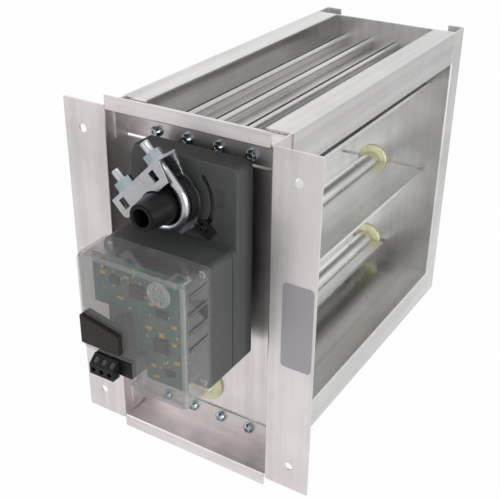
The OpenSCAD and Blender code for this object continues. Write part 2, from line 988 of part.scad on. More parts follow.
// Middle shell, shallow over the drive and deeper at the lower block
module middle_shell() {
    color([0.38, 0.4, 0.42])
        difference() {
            union() {
                hull() {
                    slab(face_y + face_round, seam_y, $fn = 32)
                        face_plan(0);
                    slab(face_y + 0.3 * face_round, seam_y - overrun, $fn = 32)
                        face_plan(0.3 * face_round);
                    slab(face_y, face_y + face_round / 2, $fn = 32)
                        face_plan(face_round);
                }
                slab(middle_y, seam_y)
                    block_plan(0, step_z);
                rod(guide_r, button_back + plunger_l - guide_in, middle_y, plunger_at);
                for (p = board_posts)
                    rod(post_r, board_y + board_t, middle_y + shell_wall / 2, p);
            }
            slab(face_y + shell_wall, seam_y + overrun)
                housing_plan(shell_wall);
            difference() {
                slab(middle_y + shell_wall, seam_y + overrun)
                    block_plan(shell_wall, step_z);
                for (p = shell_screw_spots)
                    rod(shell_boss_r, middle_y, plate_front - loose_gap, p);
            }
            slab(parting_y - groove_w / 2, parting_y + groove_w / 2)
                difference() {
                    block_plan(-overrun, step_z);
                    block_plan(groove_depth, step_z);
                }
            for (k = [0:mark_count - 1])
                translate([mark_in_r, face_y - overrun, drive_z + k * mark_step])
                    cube([mark_l, overrun + mark_depth, mark_w]);
            rod(hub_hole_r, face_y - overrun, seam_y + overrun, [0, drive_z]);
            translate([0, 0, drive_z])
                slab(face_y - overrun, face_y + shell_wall + overrun)
                    arc_slot(slot_w);
            for (p = shell_screw_spots)
                rod(shell_screw_shank_r + run_gap, middle_y - overrun, middle_y + shell_screw_l + overrun,
                    p);
        }
}

// Clear cover over the board, open to the back
module cover_body(inset) {
    hull() {
        slab(cover_y + inset + cover_round, middle_y, $fn = 32)
            block_plan(inset, cover_top);
        slab(cover_y + inset + 0.3 * cover_round, middle_y, $fn = 32)
            block_plan(inset + 0.286 * cover_round, cover_top);
        slab(cover_y + inset, middle_y, $fn = 32)
            block_plan(inset + 0.9 * cover_round, cover_top);
    }
}

// Front outline of the release button, made larger by a gap
module button_plan(gap) {
    polygon([[button_left - gap, button_low - gap], [button_right + gap, button_low - gap],
        [button_right + gap, button_dip + gap], [button_left - gap, button_high + gap]]);
}

module clear_cover() {
    color([0.8, 0.84, 0.84, 0.4])
        difference() {
            union() {
                difference() {
                    cover_body(0);
                    cover_body(cover_wall);
                    slab(middle_y - overrun, middle_y + overrun)
                        block_plan(cover_wall, cover_top);
                }
                intersection() {
                    cover_body(0);
                    union() {
                        span([-act_left, cover_y, notch_top],
                            [notch_right, middle_y, notch_top + cover_wall]);
                        span([notch_right, cover_y, act_bottom],
                            [notch_right + cover_wall, middle_y, notch_top + cover_wall]);
                    }
                }
                for (z = vent_zs)
                    span([act_right - cover_wall / 2, vent_front, z + vent_h / 2],
                        [act_right + hood_t, vent_back, z + vent_h / 2 + hood_h]);
            }
            span([-act_left - overrun, cover_y - overrun, act_bottom - overrun],
                [notch_right, middle_y + overrun, notch_top]);
            slab(cover_y - overrun, button_back + button_travel + loose_gap)
                button_plan(button_gap);
            rod(window_in_r, cover_y - overrun, cover_y + cover_wall + overrun, [window_x, window_z]);
            for (z = vent_zs)
                span([act_right - 2 * cover_wall, vent_front, z - vent_h / 2],
                    [act_right + hood_t + overrun, vent_back, z + vent_h / 2]);
            for (x = [corner_r - act_left, act_right - corner_r - pocket_w])
                span([x, cover_y + pocket_h, cover_top - cover_wall / 2],
                    [x + pocket_w, cover_y + pocket_h + pocket_w, cover_top + overrun]);
            span([act_right - corner_r - pocket_w, cover_y + pocket_h, act_bottom - overrun],
                [act_right - corner_r, cover_y + pocket_h + pocket_w, act_bottom + cover_wall / 2]);
        }
}

// Raised ring round the setting window, with its lens in the cover's hole
module window_ring() {
    color([0.82, 0.85, 0.85, 0.5])
        difference() {
            union() {
                rod(window_r, cover_y - window_proud, cover_y, [window_x, window_z]);
                rod(window_in_r - run_gap, cover_y - window_proud, cover_y + lens_t, [window_x, window_z]);
            }
            rod(window_in_r - cover_wall / 2, cover_y - window_proud - overrun, cover_y,
                [window_x, window_z]);
        }
}

// Screws that hold the shells together, under the clear cover
module shell_screws() {
    color([0.6, 0.62, 0.64])
        for (p = shell_screw_spots)
            pan_screw(p[0], p[1], middle_y, shell_screw_l, shell_screw_r, shell_screw_head_h,
                shell_screw_shank_r);
}

// Screws from inside the duct that hold the actuator on the web
module mounting_screws() {
    color([0.66, 0.7, 0.74])
        for (p = mount_spots)
            translate([0, 2 * web_back, 0])
                mirror([0, 1, 0])
                    pan_screw(p[0], p[1], web_back, mount_screw_l, mount_head_r, mount_head_t,
                        mount_screw_r);
}

// Steel plate that carries the motor and the gear pin
module gear_plate() {
    color([0.64, 0.64, 0.62])
        slab(plate_front, plate_back)
            difference() {
                housing_plan(shell_wall + loose_gap);
                translate([0, drive_z])
                    circle(plate_hole_r);
                translate(motor_axis)
                    circle(motor_shaft_r + 2 * loose_gap);
                translate(mid_axis)
                    circle(gear_pin_r + run_gap / 2);
            }
}

// Geared motor in its round can
module motor() {
    color([0.55, 0.55, 0.56])
        difference() {
            union() {
                rod(motor_flange_r, plate_front - motor_flange_t, plate_front, motor_axis);
                rod(motor_r, plate_front - motor_flange_t - motor_l, plate_front - motor_flange_t / 2,
                    motor_axis);
            }
            rod(motor_shaft_r + run_gap, plate_front - motor_bore_l, plate_front + overrun, motor_axis);
        }
}

// Angle of an involute at a radius, in degrees
function roll(r, base) = let (t = sqrt(max(pow(r / base, 2) - 1, 0))) t * 180 / PI - atan(t);

// Half the angle that a tooth takes up at a radius
function half_tooth(r, teeth) =
    let (pitch_r = gear_m * teeth / 2, base = pitch_r * cos(pressure))
        90 / teeth - tooth_gap / pitch_r * 45 / PI + roll(pitch_r, base) - roll(max(r, base), base);

// Radii at which a tooth's flank has its points
function flank_radii(teeth) =
    let (pitch_r = gear_m * teeth / 2, base = pitch_r * cos(pressure), root = pitch_r - root_share * gear_m,
        tip = pitch_r + addendum_share * gear_m, start = max(base, root))
        [root, for (k = [0:4]) start + (tip - start) * k / 4];

// Outline of one tooth about an angle
function tooth(teeth, angle) =
    let (radii = flank_radii(teeth), last = len(radii) - 1)
        concat([for (k = [0:last]) radii[k] * [cos(angle - half_tooth(radii[k], teeth)),
                sin(angle - half_tooth(radii[k], teeth))]],
            [for (k = [last:-1:0]) radii[k] * [cos(angle + half_tooth(radii[k], teeth)),
                sin(angle + half_tooth(radii[k], teeth))]]);

// Full gear whose tooth lies at the given angle
module gear_plan(teeth, angle) {
    polygon([for (k = [0:teeth - 1]) each tooth(teeth, angle + k * 360 / teeth)]);
}

module motor_pinion() {
    color([0.78, 0.68, 0.4])
        union() {
            translate([motor_axis[0], 0, motor_axis[1]])
                slab(wheel_front - loose_gap, wheel_back + loose_gap)
                    gear_plan(motor_teeth, motor_angle + 180 + 180 / motor_teeth);
            rod(motor_shaft_r, plate_front - motor_shaft_l, wheel_front, motor_axis);
        }
}

module intermediate_gear() {
    color([0.9, 0.9, 0.86])
        difference() {
            translate([mid_axis[0], 0, mid_axis[1]]) {
                slab(wheel_front, wheel_back)
                    gear_plan(wheel_teeth, motor_angle);
                slab(wheel_back - overrun, sector_back + loose_gap)
                    gear_plan(pinion_teeth, 90 + 180 / pinion_teeth);
            }
            rod(gear_pin_r + run_gap, wheel_front - overrun, sector_back + overrun, mid_axis);
        }
}

module gear_pin() {
    color([0.7, 0.7, 0.72])
        rod(gear_pin_r, plate_front, back_panel_y - shell_wall / 3, mid_axis);
}

// Toothed sector on the drive hub
module output_sector() {
    tooth_step = 360 / sector_teeth;
    first_tooth = -90 - tooth_step * floor((-90 - sector_from) / tooth_step);
    color([0.9, 0.9, 0.86])
        translate([0, 0, drive_z])
            slab(sector_front, sector_back)
                difference() {
                    union() {
                        circle(hub_r + sector_web_w);
                        polygon([[0, 0],
                            for (a = [first_tooth:tooth_step:sector_to]) each tooth(sector_teeth, a)]);
                    }
                    circle(hub_r + run_gap);
                }
}

// Black hub that turns in the housing and carries the clamp
module drive_hub() {
    color([0.09, 0.09, 0.1])
        difference() {
            union() {
                rod(hub_r, neck_back, back_panel_y, [0, drive_z]);
                rod(neck_r, neck_front, neck_back, [0, drive_z]);
                translate([0, sleeve_front, drive_z])
                    rotate([-90, 0, 0])
                        cylinder(r1 = sleeve_r, r2 = neck_r, h = neck_front - sleeve_front);
            }
            rod(drive_r + run_gap, sleeve_front - overrun, back_panel_y + overrun, [0, drive_z]);
            rod_cross(drive_z);
        }
}

module drive_tube() {
    color([0.07, 0.07, 0.08])
        difference() {
            rod(drive_r, drive_front, drive_back, [0, drive_z]);
            rod(drive_bore_r, drive_front - overrun, socket_back, [0, drive_z]);
            rod(axle_stub_r + run_gap, socket_back - overrun, drive_back + overrun, [0, drive_z]);
            rod_cross(drive_z);
        }
}

// Cross pin through the hub, the drive tube and the axle
module drive_pin() {
    color([0.6, 0.6, 0.62])
        translate([0, pin_y, drive_z - hub_r + seam_gap])
            cylinder(r = pin_r, h = 2 * hub_r - 2 * seam_gap);
}

// One wall of the clamp bracket, with room for what passes through it
module bracket_wall(room) {
    difference() {
        union() {
            polygon([[bracket_from + bracket_corner, bracket_low], [bracket_to - bracket_skew, bracket_low],
                [bracket_to, bracket_high], [bracket_from, bracket_high],
                [bracket_from, bracket_low + bracket_corner]]);
            translate([bracket_from + bracket_corner, bracket_low + bracket_corner])
                circle(bracket_corner);
        }
        circle(room);
    }
}

module clamp_bracket() {
    color([0.76, 0.77, 0.78])
        clamp_frame()
            difference() {
                union() {
                    slab(bracket_front, bracket_front + bracket_t)
                        difference() {
                            bracket_wall(neck_r + loose_gap);
                            for (x = [-u_half - window_w, u_half - window_w])
                                translate([x, bracket_low + window_w])
                                    square([window_w, window_h]);
                        }
                    slab(bracket_back - bracket_t, bracket_back)
                        bracket_wall(hub_r + loose_gap);
                    span([bracket_from, bracket_front, bracket_high - bracket_t],
                        [bracket_to, bracket_back, bracket_high]);
                }
                for (x = [-u_half, u_half])
                    translate([x, u_plane, bracket_low])
                        cylinder(r = u_rod_r + loose_gap, h = bracket_high);
            }
}

module u_bolt() {
    color([0.8, 0.81, 0.82])
        clamp_frame()
            translate([0, u_plane, u_centre]) {
                rotate([-90, 0, 0])
                    rotate_extrude(angle = 180)
                        translate([u_half, 0])
                            circle(r = u_rod_r, $fn = 32);
                for (x = [-u_half, u_half])
                    translate([x, 0, 0])
                        cylinder(r = u_rod_r, h = u_leg_end - u_centre, $fn = 32);
            }
}

module u_bolt_nuts() {
    color([0.72, 0.73, 0.74])
        clamp_frame()
            for (x = [-u_half, u_half])
                translate([x, u_plane, bracket_high])
                    difference() {
                        union() {
                            cylinder(r = washer_r, h = washer_t);
                            cylinder(r = nut_r, h = washer_t + nut_t, $fn = 6);
                        }
                        translate([0, 0, -overrun])
                            cylinder(r = u_rod_r + run_gap, h = washer_t + nut_t + 2 * overrun);
                    }
}

// Zinc ring behind the clamp, with a folded pointer tab
module pointer_ring() {
    color([0.78, 0.79, 0.8])
        translate([0, 0, drive_z]) {
            slab(ring_front, ring_back)
                difference() {
                    union() {
                        circle(ring_r);
                        rotate(tab_angle)
                            translate([0, -tab_w / 2])
                                square([tab_r, tab_w]);
                    }
                    circle(hub_r + run_gap);
                }
            slab(ring_front - tab_fold, ring_front)
                rotate(tab_angle)
                    translate([tab_r - tab_t, -tab_w / 2])
                        square([tab_t, tab_w]);
        }
}

// Adjustable end stop that is clamped in the arc slot
module end_stop() {
    color([0.25, 0.24, 0.22])
        translate([0, 0, drive_z])
            rotate([0, -stop_angle, 0])
                translate([slot_r, 0, 0])
                    difference() {
                        union() {
                            rod(stop_head_r, face_y - stop_head_h, face_y - run_gap);
                            rod(stop_shank_r, face_y - stop_head_h / 2, face_y + shell_wall + stop_block_t);
                            span([-stop_plate_in, face_y - stop_plate_t, -stop_plate_w / 2],
                                [stop_plate_out, face_y - run_gap, stop_plate_w / 2]);
                            span([-stop_block_w / 2, face_y + shell_wall + run_gap, -stop_block_w / 2],
                                [stop_block_w / 2, face_y + shell_wall + stop_block_t, stop_block_w / 2]);
                        }
                        rod(stop_socket_r, face_y - stop_head_h - overrun, face_y - stop_head_h / 2);
                    }
}

// Board with a cut-out for the button and the terminal block
module circuit_board() {
    color([0.16, 0.42, 0.33])
        slab(board_y, board_y + board_t)
            polygon([[board_left, board_high], [board_right, board_high], [board_right, board_low],
                [board_notch_x, board_low], [board_notch_x, board_notch_z], [board_key_x, board_notch_z],
                [board_key_x, board_key_z], [board_left, board_key_z]]);
}

// Chips and dial on the front of the board, relays and capacitors behind it
module board_components() {
    color([0.85, 0.68, 0.35])
        for (p = front_parts_shares)
            span([board_left + p[0] * board_w, board_y - p[4] * chip_h, board_low + p[1] * board_h],
                [board_left + (p[0] + p[2]) * board_w, board_y, board_low + (p[1] + p[3]) * board_h]);
    color([0.15, 0.15, 0.16])
        for (k = relay_xs_shares)
            translate([board_left + k * board_w - relay_w / 2, board_y + board_t,
                board_low + relay_z_share * board_h - relay_h / 2])
                cube([relay_w, relay_t, relay_h]);
    color([0.2, 0.22, 0.3])
        for (k = capacitor_zs_shares)
            rod(capacitor_r, board_y + board_t, board_y + board_t + capacitor_l,
                [board_left + capacitor_x_share * board_w, board_low + k * board_h]);
    color([0.8, 0.8, 0.76])
        difference() {
            rod(dial_r, board_y - dial_l, board_y, [window_x, window_z]);
            span([window_x - dial_r, board_y - dial_l - overrun, window_z - dial_slot / 2],
                [window_x + dial_r, board_y - dial_l + dial_slot, window_z + dial_slot / 2]);
        }
}

// Button that frees the gears while it is held in
module release_button() {
    color([0.19, 0.17, 0.17])
        difference() {
            union() {
                slab(button_front, button_back)
                    button_plan(0);
                rod(plunger_r, button_back - overrun, button_back + plunger_l, plunger_at);
            }
            rod(plunger_bore_r, button_back, button_back + plunger_l + overrun, plunger_at);
        }
}

// Wire centre of the spring at a ring, counted from the button
function spring_point(ring, length) =
    let (part = ring / (spring_turns * spring_rings), angle = ring * 360 / spring_rings)
        [spring_r * cos(angle), spring_wire_r + part * (length - 2 * spring_wire_r), spring_r * sin(angle)];

// Coil spring behind the button, seated on the middle shell
module release_spring() {
    length = middle_y - button_back;
    last = spring_turns * spring_rings;
    centres = [for (i = [0:last]) spring_point(i, length)];
    gaps = [for (i = [0:last - spring_rings], j = [i + spring_rings / 2:last])
        norm(centres[j] - centres[i]) - 2 * spring_wire_r];
    echo(least_gap_of_spring = min(gaps));
    points = [for (i = [0:last], j = [0:spring_sides - 1])
        let (a = i * 360 / spring_rings, b = j * 360 / spring_sides)
            centres[i] + spring_wire_r * [cos(b) * cos(a), sin(b), cos(b) * sin(a)]];
    walls = [for (i = [0:last - 1], j = [0:spring_sides - 1])
        let (k = (j + 1) % spring_sides, here = i * spring_sides, next = here + spring_sides)
            each [[here + j, next + k, here + k], [here + j, next + j, next + k]]];
    caps = [for (j = [1:spring_sides - 2])
        each [[0, j, j + 1], last * spring_sides * [1, 1, 1] + [0, j + 1, j]]];
    color([0.7, 0.71, 0.72])
        translate([plunger_at[0], button_back, plunger_at[1]])
            polyhedron(points, concat(walls, caps));
}

// Fixed half of the terminal block
module terminal_socket() {
    color([0.08, 0.08, 0.09])
        difference() {
            span([socket_left, cover_y, socket_low], [socket_right, middle_y, socket_high]);
            span([plug_left + nose_inset - loose_gap, cover_y - overrun,
                    socket_low + nose_inset - loose_gap],
                [plug_left + plug_w - nose_inset + loose_gap, cover_y + plug_nose_l + loose_gap,
                    socket_high - nose_inset + loose_gap]);
        }
}

// Side outline of the plug, front to the left
module plug_side() {
    polygon([[plug_front, plug_low], [plug_front, plug_mid], [plug_slope_y, plug_high],
        [cover_y - loose_gap, plug_high], [cover_y - loose_gap, plug_low]]);
}

// Runs its child at each pole of the plug
module each_pole() {
    for (k = [0:poles - 1])
        translate([plug_left + (k + 0.5) * plug_w / poles, 0, 0])
            children();
}

// Puts its child on the sloping face of the plug, its Z axis square to the face
module on_slope() {
    translate([0, (plug_front + plug_slope_y) / 2, (plug_mid + plug_high) / 2])
        rotate([atan2(plug_high - plug_mid, plug_slope_y - plug_front), 0, 0])
            children();
}

module terminal_plug() {
    color([0.07, 0.07, 0.08])
        difference() {
            union() {
                translate([plug_left, 0, 0])
                    rotate([90, 0, 90])
                        linear_extrude(plug_w)
                            plug_side();
                span([plug_left + nose_inset, cover_y - 2 * loose_gap, socket_low + nose_inset],
                    [plug_left + plug_w - nose_inset, cover_y + plug_nose_l, socket_high - nose_inset]);
            }
            each_pole()
                rod(wire_hole_r, plug_front - overrun, plug_front + wire_hole_l,
                    [0, (plug_low + plug_mid) / 2]);
            each_pole()
                on_slope()
                    translate([0, 0, -term_screw_l - term_screw_set])
                        cylinder(r = term_screw_r + run_gap, h = term_screw_l + term_screw_set + overrun);
        }
}

module terminal_screws() {
    color([0.62, 0.63, 0.62])
        each_pole()
            on_slope()
                translate([0, 0, -term_screw_l - term_screw_set])
                    difference() {
                        cylinder(r = term_screw_r, h = term_screw_l);
                        translate([-term_screw_r, -term_slot_w / 2, term_screw_l - term_slot_w])
                            cube([2 * term_screw_r, term_slot_w, term_screw_l]);
                    }
}

// Bare silver sticker on the right flange
module sticker() {
    color([0.78, 0.78, 0.78])
        slab(-sticker_t, 0)
            rounded_plan(sticker_left, sticker_low, sticker_left + sticker_w, sticker_low + sticker_h,
                sticker_corner, sticker_corner);
}

side_pan();
top_closure();
bottom_closure();
top_channel();
bottom_channel();
far_channel();
near_screws();
far_screws();
near_bearings();
far_bearings();
blade_top();
blade_middle();
blade_bottom();
axle_top();
axle_middle();
axle_bottom();
blade_screws_top();
blade_screws_middle();
blade_screws_bottom();
crank_top();
crank_middle();
crank_bottom();
link_bar();
link_clips();
rear_shell();
middle_shell();
clear_cover();
window_ring();
shell_screws();
mounting_screws();
gear_plate();
motor();
motor_pinion();
intermediate_gear();
gear_pin();
output_sector();
drive_hub();
drive_tube();
drive_pin();
clamp_bracket();
u_bolt();
u_bolt_nuts();
pointer_ring();
end_stop();
circuit_board();
board_components();
release_button();
release_spring();
terminal_socket();
terminal_plug();
terminal_screws();
sticker();
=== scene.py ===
"""Looks of the motorized duct damper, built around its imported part."""

import json
import math
import random

import bmesh
import bpy
from bpy.props import FloatProperty, FloatVectorProperty, IntProperty, PointerProperty
from mathutils import Matrix, Vector

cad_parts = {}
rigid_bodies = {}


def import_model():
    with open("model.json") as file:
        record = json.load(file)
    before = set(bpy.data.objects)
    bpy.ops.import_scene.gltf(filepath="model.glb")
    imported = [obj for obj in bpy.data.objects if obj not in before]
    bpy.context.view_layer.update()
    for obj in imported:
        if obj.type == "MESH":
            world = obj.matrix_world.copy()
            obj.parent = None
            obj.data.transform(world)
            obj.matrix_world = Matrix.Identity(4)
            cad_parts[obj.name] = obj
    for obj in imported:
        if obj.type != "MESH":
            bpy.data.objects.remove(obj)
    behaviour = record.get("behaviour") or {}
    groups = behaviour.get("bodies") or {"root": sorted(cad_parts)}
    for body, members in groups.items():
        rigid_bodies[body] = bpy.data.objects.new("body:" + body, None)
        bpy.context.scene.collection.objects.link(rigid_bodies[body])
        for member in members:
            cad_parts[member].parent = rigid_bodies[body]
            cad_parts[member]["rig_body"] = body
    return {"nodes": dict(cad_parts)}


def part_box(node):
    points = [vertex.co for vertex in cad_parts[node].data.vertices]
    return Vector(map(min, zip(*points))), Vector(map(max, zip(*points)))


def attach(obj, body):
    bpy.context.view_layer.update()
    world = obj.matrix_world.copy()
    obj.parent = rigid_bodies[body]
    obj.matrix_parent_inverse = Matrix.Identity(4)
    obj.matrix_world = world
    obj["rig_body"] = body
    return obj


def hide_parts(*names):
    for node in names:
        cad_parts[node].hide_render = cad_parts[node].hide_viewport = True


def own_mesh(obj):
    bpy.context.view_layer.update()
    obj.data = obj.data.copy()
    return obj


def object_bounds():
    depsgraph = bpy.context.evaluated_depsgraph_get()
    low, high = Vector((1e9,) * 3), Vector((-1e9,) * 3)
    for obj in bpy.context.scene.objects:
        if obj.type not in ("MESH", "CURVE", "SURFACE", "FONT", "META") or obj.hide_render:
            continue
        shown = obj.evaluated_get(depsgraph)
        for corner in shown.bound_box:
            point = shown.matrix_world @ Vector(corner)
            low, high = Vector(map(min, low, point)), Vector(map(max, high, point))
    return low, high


bl_info = {
    "name": "Duct damper looks",
    "version": (1, 0, 0),
    "blender": (4, 5, 0),
    "location": "3D View > Sidebar > Damper",
    "description": "Finishes and fine detail of a motorized duct damper",
    "category": "Object",
}

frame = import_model()
PARTS = frame["nodes"]
CAD_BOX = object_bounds()
MM = 0.001
WHITE = (1.0, 1.0, 1.0, 1.0)
# Points closer than this are one point, in metres
TOUCH = 0.000004
# Faces that turn less than FLAT are one face, and edges that turn more than SHARP are rounded
FLAT, SHARP = math.radians(0.4), math.radians(32.0)
# How much the larger faces decide the shading of the edges between them, where 50 is even
SHADING_WEIGHT = 80


def shade(label, text, value):
    """A colour that a user may change."""
    return FloatVectorProperty(
        name=label, description=text, default=value, size=3, subtype="COLOR", min=0.0, max=1.0
    )


def length(label, text, value):
    """A length that a user may change, in metres."""
    return FloatProperty(name=label, description=text, default=value, min=0.0, unit="LENGTH", precision=5)


class DamperSizes(bpy.types.PropertyGroup):
    """Sizes of the fine detail"""

    sheet_edge: length("Sheet edge", "Rounding of the sheet's edges", 0.00022)
    casting_edge: length("Moulded edge", "Rounding of the moulded housing's edges", 0.0007)
    small_edge: length("Small edge", "Rounding of screws, nuts and other small pieces", 0.0002)
    thread_pitch: length("Thread pitch", "Distance between the threads of the U-bolt", 0.001)
    board_chips: IntProperty(
        name="Board chips", description="How many small chips lie on the board", default=46, min=0, max=200
    )


class DamperColours(bpy.types.PropertyGroup):
    """Colours of the finishes"""

    sheet: shade("Sheet", "Folded aluminium sheet", (0.675, 0.636, 0.632))
    channel: shade("Channel", "Extruded aluminium", (0.62, 0.612, 0.606))
    blade: shade("Blade", "Blade sheet", (0.68, 0.68, 0.67))
    zinc: shade("Zinc", "Bright zinc of the clamp", (0.45, 0.46, 0.48))
    zinc_blue: shade("Screw zinc", "Blue zinc of the screws", (0.35, 0.40, 0.44))
    housing: shade("Housing", "Moulded housing", (0.064, 0.067, 0.067))
    black: shade("Black plastic", "Drive tube, hub and plug", (0.008, 0.008, 0.009))
    brown: shade("Button", "Release button", (0.020, 0.0165, 0.015))
    nylon: shade("Nylon", "Flanged bearings", (0.72, 0.70, 0.46))
    board: shade("Board", "Solder mask of the board", (0.055, 0.125, 0.092))
    clear: shade("Cover", "Clear cover", (0.31, 0.31, 0.305))
    film: shade("Sticker", "Bare silver film", (0.37, 0.352, 0.378))
    floor: shade("Floor", "Plain floor", (0.93, 0.93, 0.93))


class Wire:
    """A shader value that takes part in Python expressions, each adding its Math node."""

    def __init__(self, tree, socket):
        self.tree = tree
        self.socket = socket

    def _math(self, operation, left, right):
        made = self.tree.node("ShaderNodeMath", {"operation": operation}, {0: left, 1: right})
        return Wire(self.tree, made.outputs[0])

    def __add__(self, other):
        return self._math("ADD", self, other)

    def __radd__(self, other):
        return self._math("ADD", other, self)

    def __sub__(self, other):
        return self._math("SUBTRACT", self, other)

    def __rsub__(self, other):
        return self._math("SUBTRACT", other, self)

    def __mul__(self, other):
        return self._math("MULTIPLY", self, other)

    def __rmul__(self, other):
        return self._math("MULTIPLY", other, self)

    def __pow__(self, other):
        return self._math("POWER", self, other)


class Tree:
    """The shader nodes of a material or of the world."""

    def __init__(self, owner):
        owner.use_nodes = True
        self.nodes, self.links = owner.node_tree.nodes, owner.node_tree.links
        self.nodes.clear()

    def node(self, kind, settings=None, sockets=None):
        """Adds one node: its settings first, then the values or links of its sockets."""
        made = self.nodes.new(kind)
        for key, value in (settings or {}).items():
            setattr(made, key, value)
        for key, value in (sockets or {}).items():
            if isinstance(value, Wire):
                self.links.new(value.socket, made.inputs[key])
            else:
                made.inputs[key].default_value = value
        return made


class Finish(Tree):
    """A procedural material, written as expressions on its wires."""

    # How far the noise is moved, in its own features, so that none of its planes is one of the part's
    AWAY = (7.31, 3.73, 5.17)

    def __init__(self, name):
        self.material = bpy.data.materials.new(name)
        super().__init__(self.material)
        self.place = Wire(self, self.node("ShaderNodeTexCoord").outputs["Object"])

    def stretched(self, stretch):
        """Place in the part's frame, scaled along each axis and moved off the part's own planes."""
        made = self.node(
            "ShaderNodeVectorMath", {"operation": "MULTIPLY_ADD"}, {0: self.place, 1: stretch, 2: self.AWAY}
        )
        return Wire(self, made.outputs[0])

    def noise(self, stretch, detail=2.0, rough=0.5):
        """Noise with so many features in a metre along each axis."""
        made = self.node(
            "ShaderNodeTexNoise",
            sockets={"Vector": self.stretched(stretch), "Scale": 1.0, "Detail": detail, "Roughness": rough},
        )
        return Wire(self, made.outputs["Fac"])

    def cells(self, stretch, feature="F1"):
        """Voronoi cells with so many in a metre along each axis."""
        made = self.node(
            "ShaderNodeTexVoronoi", {"feature": feature}, {"Vector": self.stretched(stretch), "Scale": 1.0}
        )
        return Wire(self, made.outputs["Distance"])

    def step(self, value, low, high):
        """0 below low, 1 above high and smooth between them."""
        made = self.node(
            "ShaderNodeMapRange",
            {"interpolation_type": "SMOOTHSTEP"},
            {"Value": value, "From Min": low, "From Max": high},
        )
        return Wire(self, made.outputs[0])

    def blend(self, factor, low, high):
        """Colour between two colours."""
        made = self.node("ShaderNodeMix", {"data_type": "RGBA"}, {0: factor, 6: rgba(low), 7: rgba(high)})
        return Wire(self, made.outputs[2])

    def bump(self, height, strength, distance):
        """Normal from a height."""
        made = self.node(
            "ShaderNodeBump", sockets={"Height": height, "Strength": strength, "Distance": distance}
        )
        return Wire(self, made.outputs["Normal"])

    def facing(self, share):
        """Layer weight, higher where the surface turns away."""
        made = self.node("ShaderNodeLayerWeight", sockets={"Blend": share})
        return Wire(self, made.outputs["Facing"])

    def surface(self, colour, roughness, **more):
        """Principled surface to the output; the other sockets come by name."""
        sockets = {"Base Color": rgba(colour), "Roughness": roughness}
        sockets.update({key.replace("_", " "): value for key, value in more.items()})
        made = self.node("ShaderNodeBsdfPrincipled", sockets=sockets)
        self.node("ShaderNodeOutputMaterial", sockets={"Surface": Wire(self, made.outputs[0])})
        return self.material


def rgba(colour):
    """Colour with its fourth value, or the wire as it is."""
    return colour if isinstance(colour, Wire) else (*tuple(colour)[:3], 1.0)


def scaled(colour, share):
    """Colour made lighter or darker."""
    return tuple(min(1.0, part * share) for part in tuple(colour)[:3])


# Finishes
def rolled_sheet(name, colour, grain, polish):
    """Rolled aluminium: fine grain along one axis, counted from 0, and soft smudges."""
    f = Finish(name)
    fine = f.noise([16 if axis == grain else 1100 for axis in range(3)], 3.0, 0.6)
    broad = f.noise([5 if axis == grain else 150 for axis in range(3)], 2.0)
    smudge = f.noise((26, 26, 26), 3.0, 0.6)
    tone = 0.55 * smudge + 0.45 * broad
    base = f.blend(f.step(tone, 0.34, 0.66), scaled(colour, 0.90), scaled(colour, 1.08))
    rough = (polish - 0.09) + 0.16 * smudge
    height = fine * 0.4 + broad * 0.6
    return f.surface(base, rough, Metallic=1.0, Normal=f.bump(height, 0.09, 0.00012))


def extruded(name, colour):
    """Extruded aluminium with die lines along the blades and oxide haze."""
    f = Finish(name)
    lines = f.noise((720, 3.5, 720), 4.0, 0.65)
    bands = f.noise((95, 2.0, 95), 2.0)
    haze = f.noise((20, 12, 20), 3.0, 0.6)
    tone = 0.65 * bands + 0.35 * haze
    base = f.blend(f.step(tone, 0.36, 0.64), scaled(colour, 0.86), scaled(colour, 1.10))
    rough = 0.21 + 0.16 * haze
    return f.surface(base, rough, Metallic=1.0, Normal=f.bump(lines * 0.5 + bands, 0.14, 0.00012))


def plated(name, colour, polish):
    """Zinc plating: bright, a little cloudy, with fine pits."""
    f = Finish(name)
    cloud = f.noise((90, 90, 90), 3.0, 0.6)
    grain = f.noise((2600, 2600, 2600), 2.0)
    base = f.blend(f.step(cloud, 0.35, 0.65), scaled(colour, 0.93), scaled(colour, 1.05))
    rough = (polish - 0.06) + 0.12 * cloud + 0.05 * grain
    return f.surface(base, rough, Metallic=1.0, Normal=f.bump(grain, 0.06, 0.00005))


def silver_film(name, colour):
    """Bare silver film: smooth and satin, with a faint ripple from the sheet below."""
    f = Finish(name)
    ripple = f.noise((70, 70, 30), 2.0)
    base = f.blend(ripple, scaled(colour, 0.96), scaled(colour, 1.04))
    return f.surface(base, 0.30 + 0.08 * ripple, Metallic=0.55, Normal=f.bump(ripple, 0.05, 0.0002))


def moulded(name, colour, rough=0.48, gleam=0.35, texture=2400, depth=0.00004, strength=0.5):
    """Moulded plastic with a fine spark-eroded texture and slight flow clouds."""
    f = Finish(name)
    grain = f.noise((texture, texture, texture), 3.0, 0.6)
    cloud = f.noise((38, 38, 38), 3.0)
    base = f.blend(0.6 * cloud + 0.4 * grain, scaled(colour, 0.86), scaled(colour, 1.16))
    gloss = (rough - 0.08) + 0.10 * cloud + 0.08 * grain
    return f.surface(base, gloss, Specular_IOR_Level=gleam, Normal=f.bump(grain, strength, depth))


def nylon(name, colour):
    """Natural nylon: milky, waxy and uneven in tone."""
    f = Finish(name)
    cloud = f.noise((130, 130, 130), 3.0)
    base = f.blend(f.step(cloud, 0.3, 0.7), scaled(colour, 0.88), scaled(colour, 1.12))
    return f.surface(
        base, 0.34 + 0.12 * cloud, Subsurface_Weight=0.25, Subsurface_Scale=0.002,
        Normal=f.bump(f.noise((900, 900, 900), 2.0), 0.15, 0.00005),
    )


